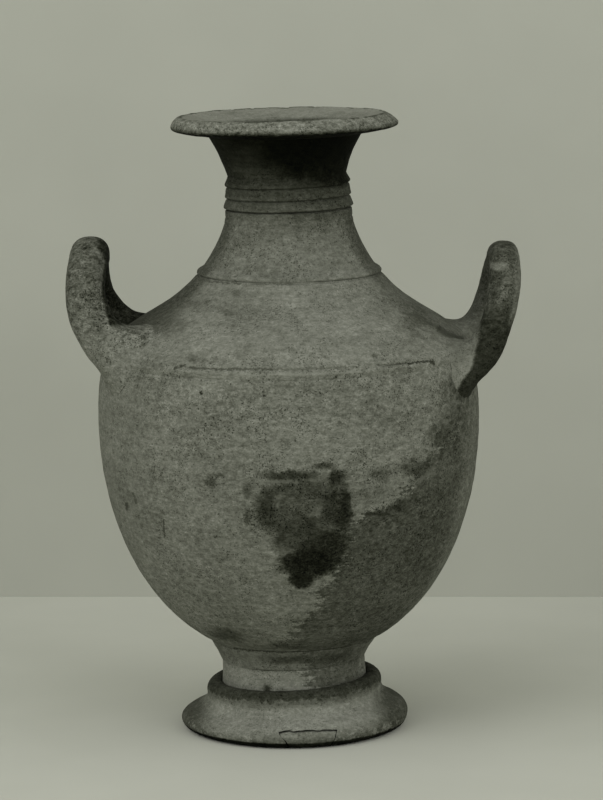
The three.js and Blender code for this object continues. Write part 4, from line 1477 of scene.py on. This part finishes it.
# Table, light and camera
@dataclass
class Studio:
    """The pale table and backdrop, the soft lights, and the camera at the photograph's place."""

    table_tone: float = 179.0
    backdrop_tone: float = 162.0
    backdrop_distance: float = 151.0
    backdrop_turn: float = 4.0
    table_reach: float = 4500.0
    backdrop_reach: float = 1500.0
    lamp_size: float = 1.0
    key_power: float = 6.2
    fill_power: float = 4.6
    lit: Triple = (0.0, 0.0, 0.08)
    picture_long_side: int = 800
    focal_pixels: float = 3520.7
    eye: Triple = (2.75, -850.0, 210.2)
    pitch: float = 8.66
    roll: float = -0.82

    def paper(self, name: str, tone: float) -> bpy.types.Material:
        """A plain pale matt paper with a faint mottle, which can be looked through from behind."""
        tree = Tree(name)
        mottle = tree.noise(tree.place(), 40.0, 2.0, 0.5)
        colour = tree.ramp(mottle, [(0.35, tinted(tone - 1.5)), (0.65, tinted(tone + 1.5))])
        matt = {"Base Color": colour, "Roughness": 0.95, "Specular IOR Level": 0.1}
        front = tree.tone("ShaderNodeBsdfPrincipled", {}, matt)
        back, clear = tree.tone("ShaderNodeNewGeometry", output="Backfacing"), tree.tone("ShaderNodeBsdfTransparent")
        return tree.finish(tree.tone("ShaderNodeMixShader", {}, {0: back, 1: front, 2: clear}))

    def sheet(self, name: str, corners: Sequence[Triple], tone: float) -> None:
        """One flat sheet of paper between four corners."""
        mesh = Surface(np.array(corners, dtype=float), [np.array([[0, 1, 2, 3]])]).mesh(name)
        mesh.materials.append(self.paper(name, tone))
        placed(name, mesh)

    def lamp(self, name: str, place: Triple, power: float) -> None:
        """A square area light that faces the jar's middle."""
        light = bpy.data.lights.new(name, "AREA")
        light.size, light.energy = self.lamp_size, power
        lamp = placed(name, light)
        lamp.location = Vector(place)
        lamp.rotation_euler = (Vector(self.lit) - lamp.location).to_track_quat("-Z", "Y").to_euler()

    def camera(self) -> None:
        """The camera: level, then pitched down and rolled as the photograph's was."""
        data = bpy.data.cameras.new("camera")
        data.sensor_width = 36.0
        data.lens = self.focal_pixels / self.picture_long_side * data.sensor_width
        data.clip_start, data.clip_end = 0.05, 20.0
        camera = placed("camera", data)
        aim = Matrix.Rotation(math.radians(90 - self.pitch), 3, "X") @ Matrix.Rotation(math.radians(self.roll), 3, "Z")
        camera.rotation_euler = aim.to_euler()
        camera.location = Vector(self.eye) * MM
        bpy.context.scene.camera = camera

    def build(self) -> None:
        """Sets up camera, sheets, lamps and world."""
        self.camera()
        far, side = self.table_reach, self.backdrop_reach
        slope = math.tan(math.radians(self.backdrop_turn)) * side
        left, right = self.backdrop_distance + slope, self.backdrop_distance - slope
        self.sheet("table", [(-far, -far, 0), (far, -far, 0), (far, far, 0), (-far, far, 0)], self.table_tone)
        corners = [(-side, left, 0), (side, right, 0), (side, right, side), (-side, left, side)]
        self.sheet("backdrop", corners, self.backdrop_tone)
        self.lamp("key", (-0.9, -0.8, 0.9), self.key_power)
        self.lamp("fill", (0.9, -1.0, 0.6), self.fill_power)
        world = bpy.data.worlds.new("room")
        world.use_nodes = True
        sockets = world.node_tree.nodes["Background"].inputs
        sockets["Color"].default_value, sockets["Strength"].default_value = (1.0, 1.0, 1.0, 1.0), 1.0
        bpy.context.scene.world = world
        bpy.context.scene.view_settings.view_transform = "Standard"


def main() -> None:
    """Builds the studio, then the jar from the foot up."""
    logging.basicConfig(level=logging.INFO, format="%(message)s")
    Studio().build()
    body, foot_clay, lip_clay, handle_clay, fragment_clay = (
        finish.material() for finish in (BODY, FOOT, LIP, HANDLE, FRAGMENT)
    )
    turnings, mend = Turnings(), Mend()
    whole = turnings.foot().mesh("foot_whole")
    notched = mend.cut(whole, mend.block(mend.crack).mesh("notch"), "DIFFERENCE", "foot_turning")
    broken = mend.cut(whole, mend.block(0.0).mesh("break"), "INTERSECT", "foot_mend")
    bpy.data.meshes.remove(whole)
    dressed("foot_turning", notched, foot_clay, "foot")
    dressed("foot_mend", broken, fragment_clay, "foot_fragment")
    for name, surface, node in (
        ("stem_turning", turnings.stem(), "stem"),
        ("bowl_turning", turnings.bowl(), "belly_bowl"),
        ("shoulder_turning", turnings.shoulder(), "shoulder"),
        ("neck_turning", turnings.neck(), "neck"),
        ("collar_ridges", turnings.collar(), "neck_collar"),
        ("mouth_flare", turnings.mouth(), "mouth"),
    ):
        dressed(name, surface.mesh(name), body, node)
    dressed("lip_plate", turnings.lip().mesh("lip_plate"), lip_clay, "lip")
    left = Handle(Side.LEFT, math.pi, 4.75, 16.7, (35.4, -3.5), (51.8, 6.8), (48.4, 22.2), root_flare=2.7)
    right = Handle(Side.RIGHT, math.radians(1.3), 3.75, 16.8, (39.6, -4.0), (50.5, -3.0), (52.1, 20.7), root_flare=2.1)
    for handle in (left, right):
        name = "handle_" + handle.side.value
        dressed(name + "_roll", handle.surface().mesh(name + "_roll"), handle_clay, name)


if __name__ == "__main__":
    main()
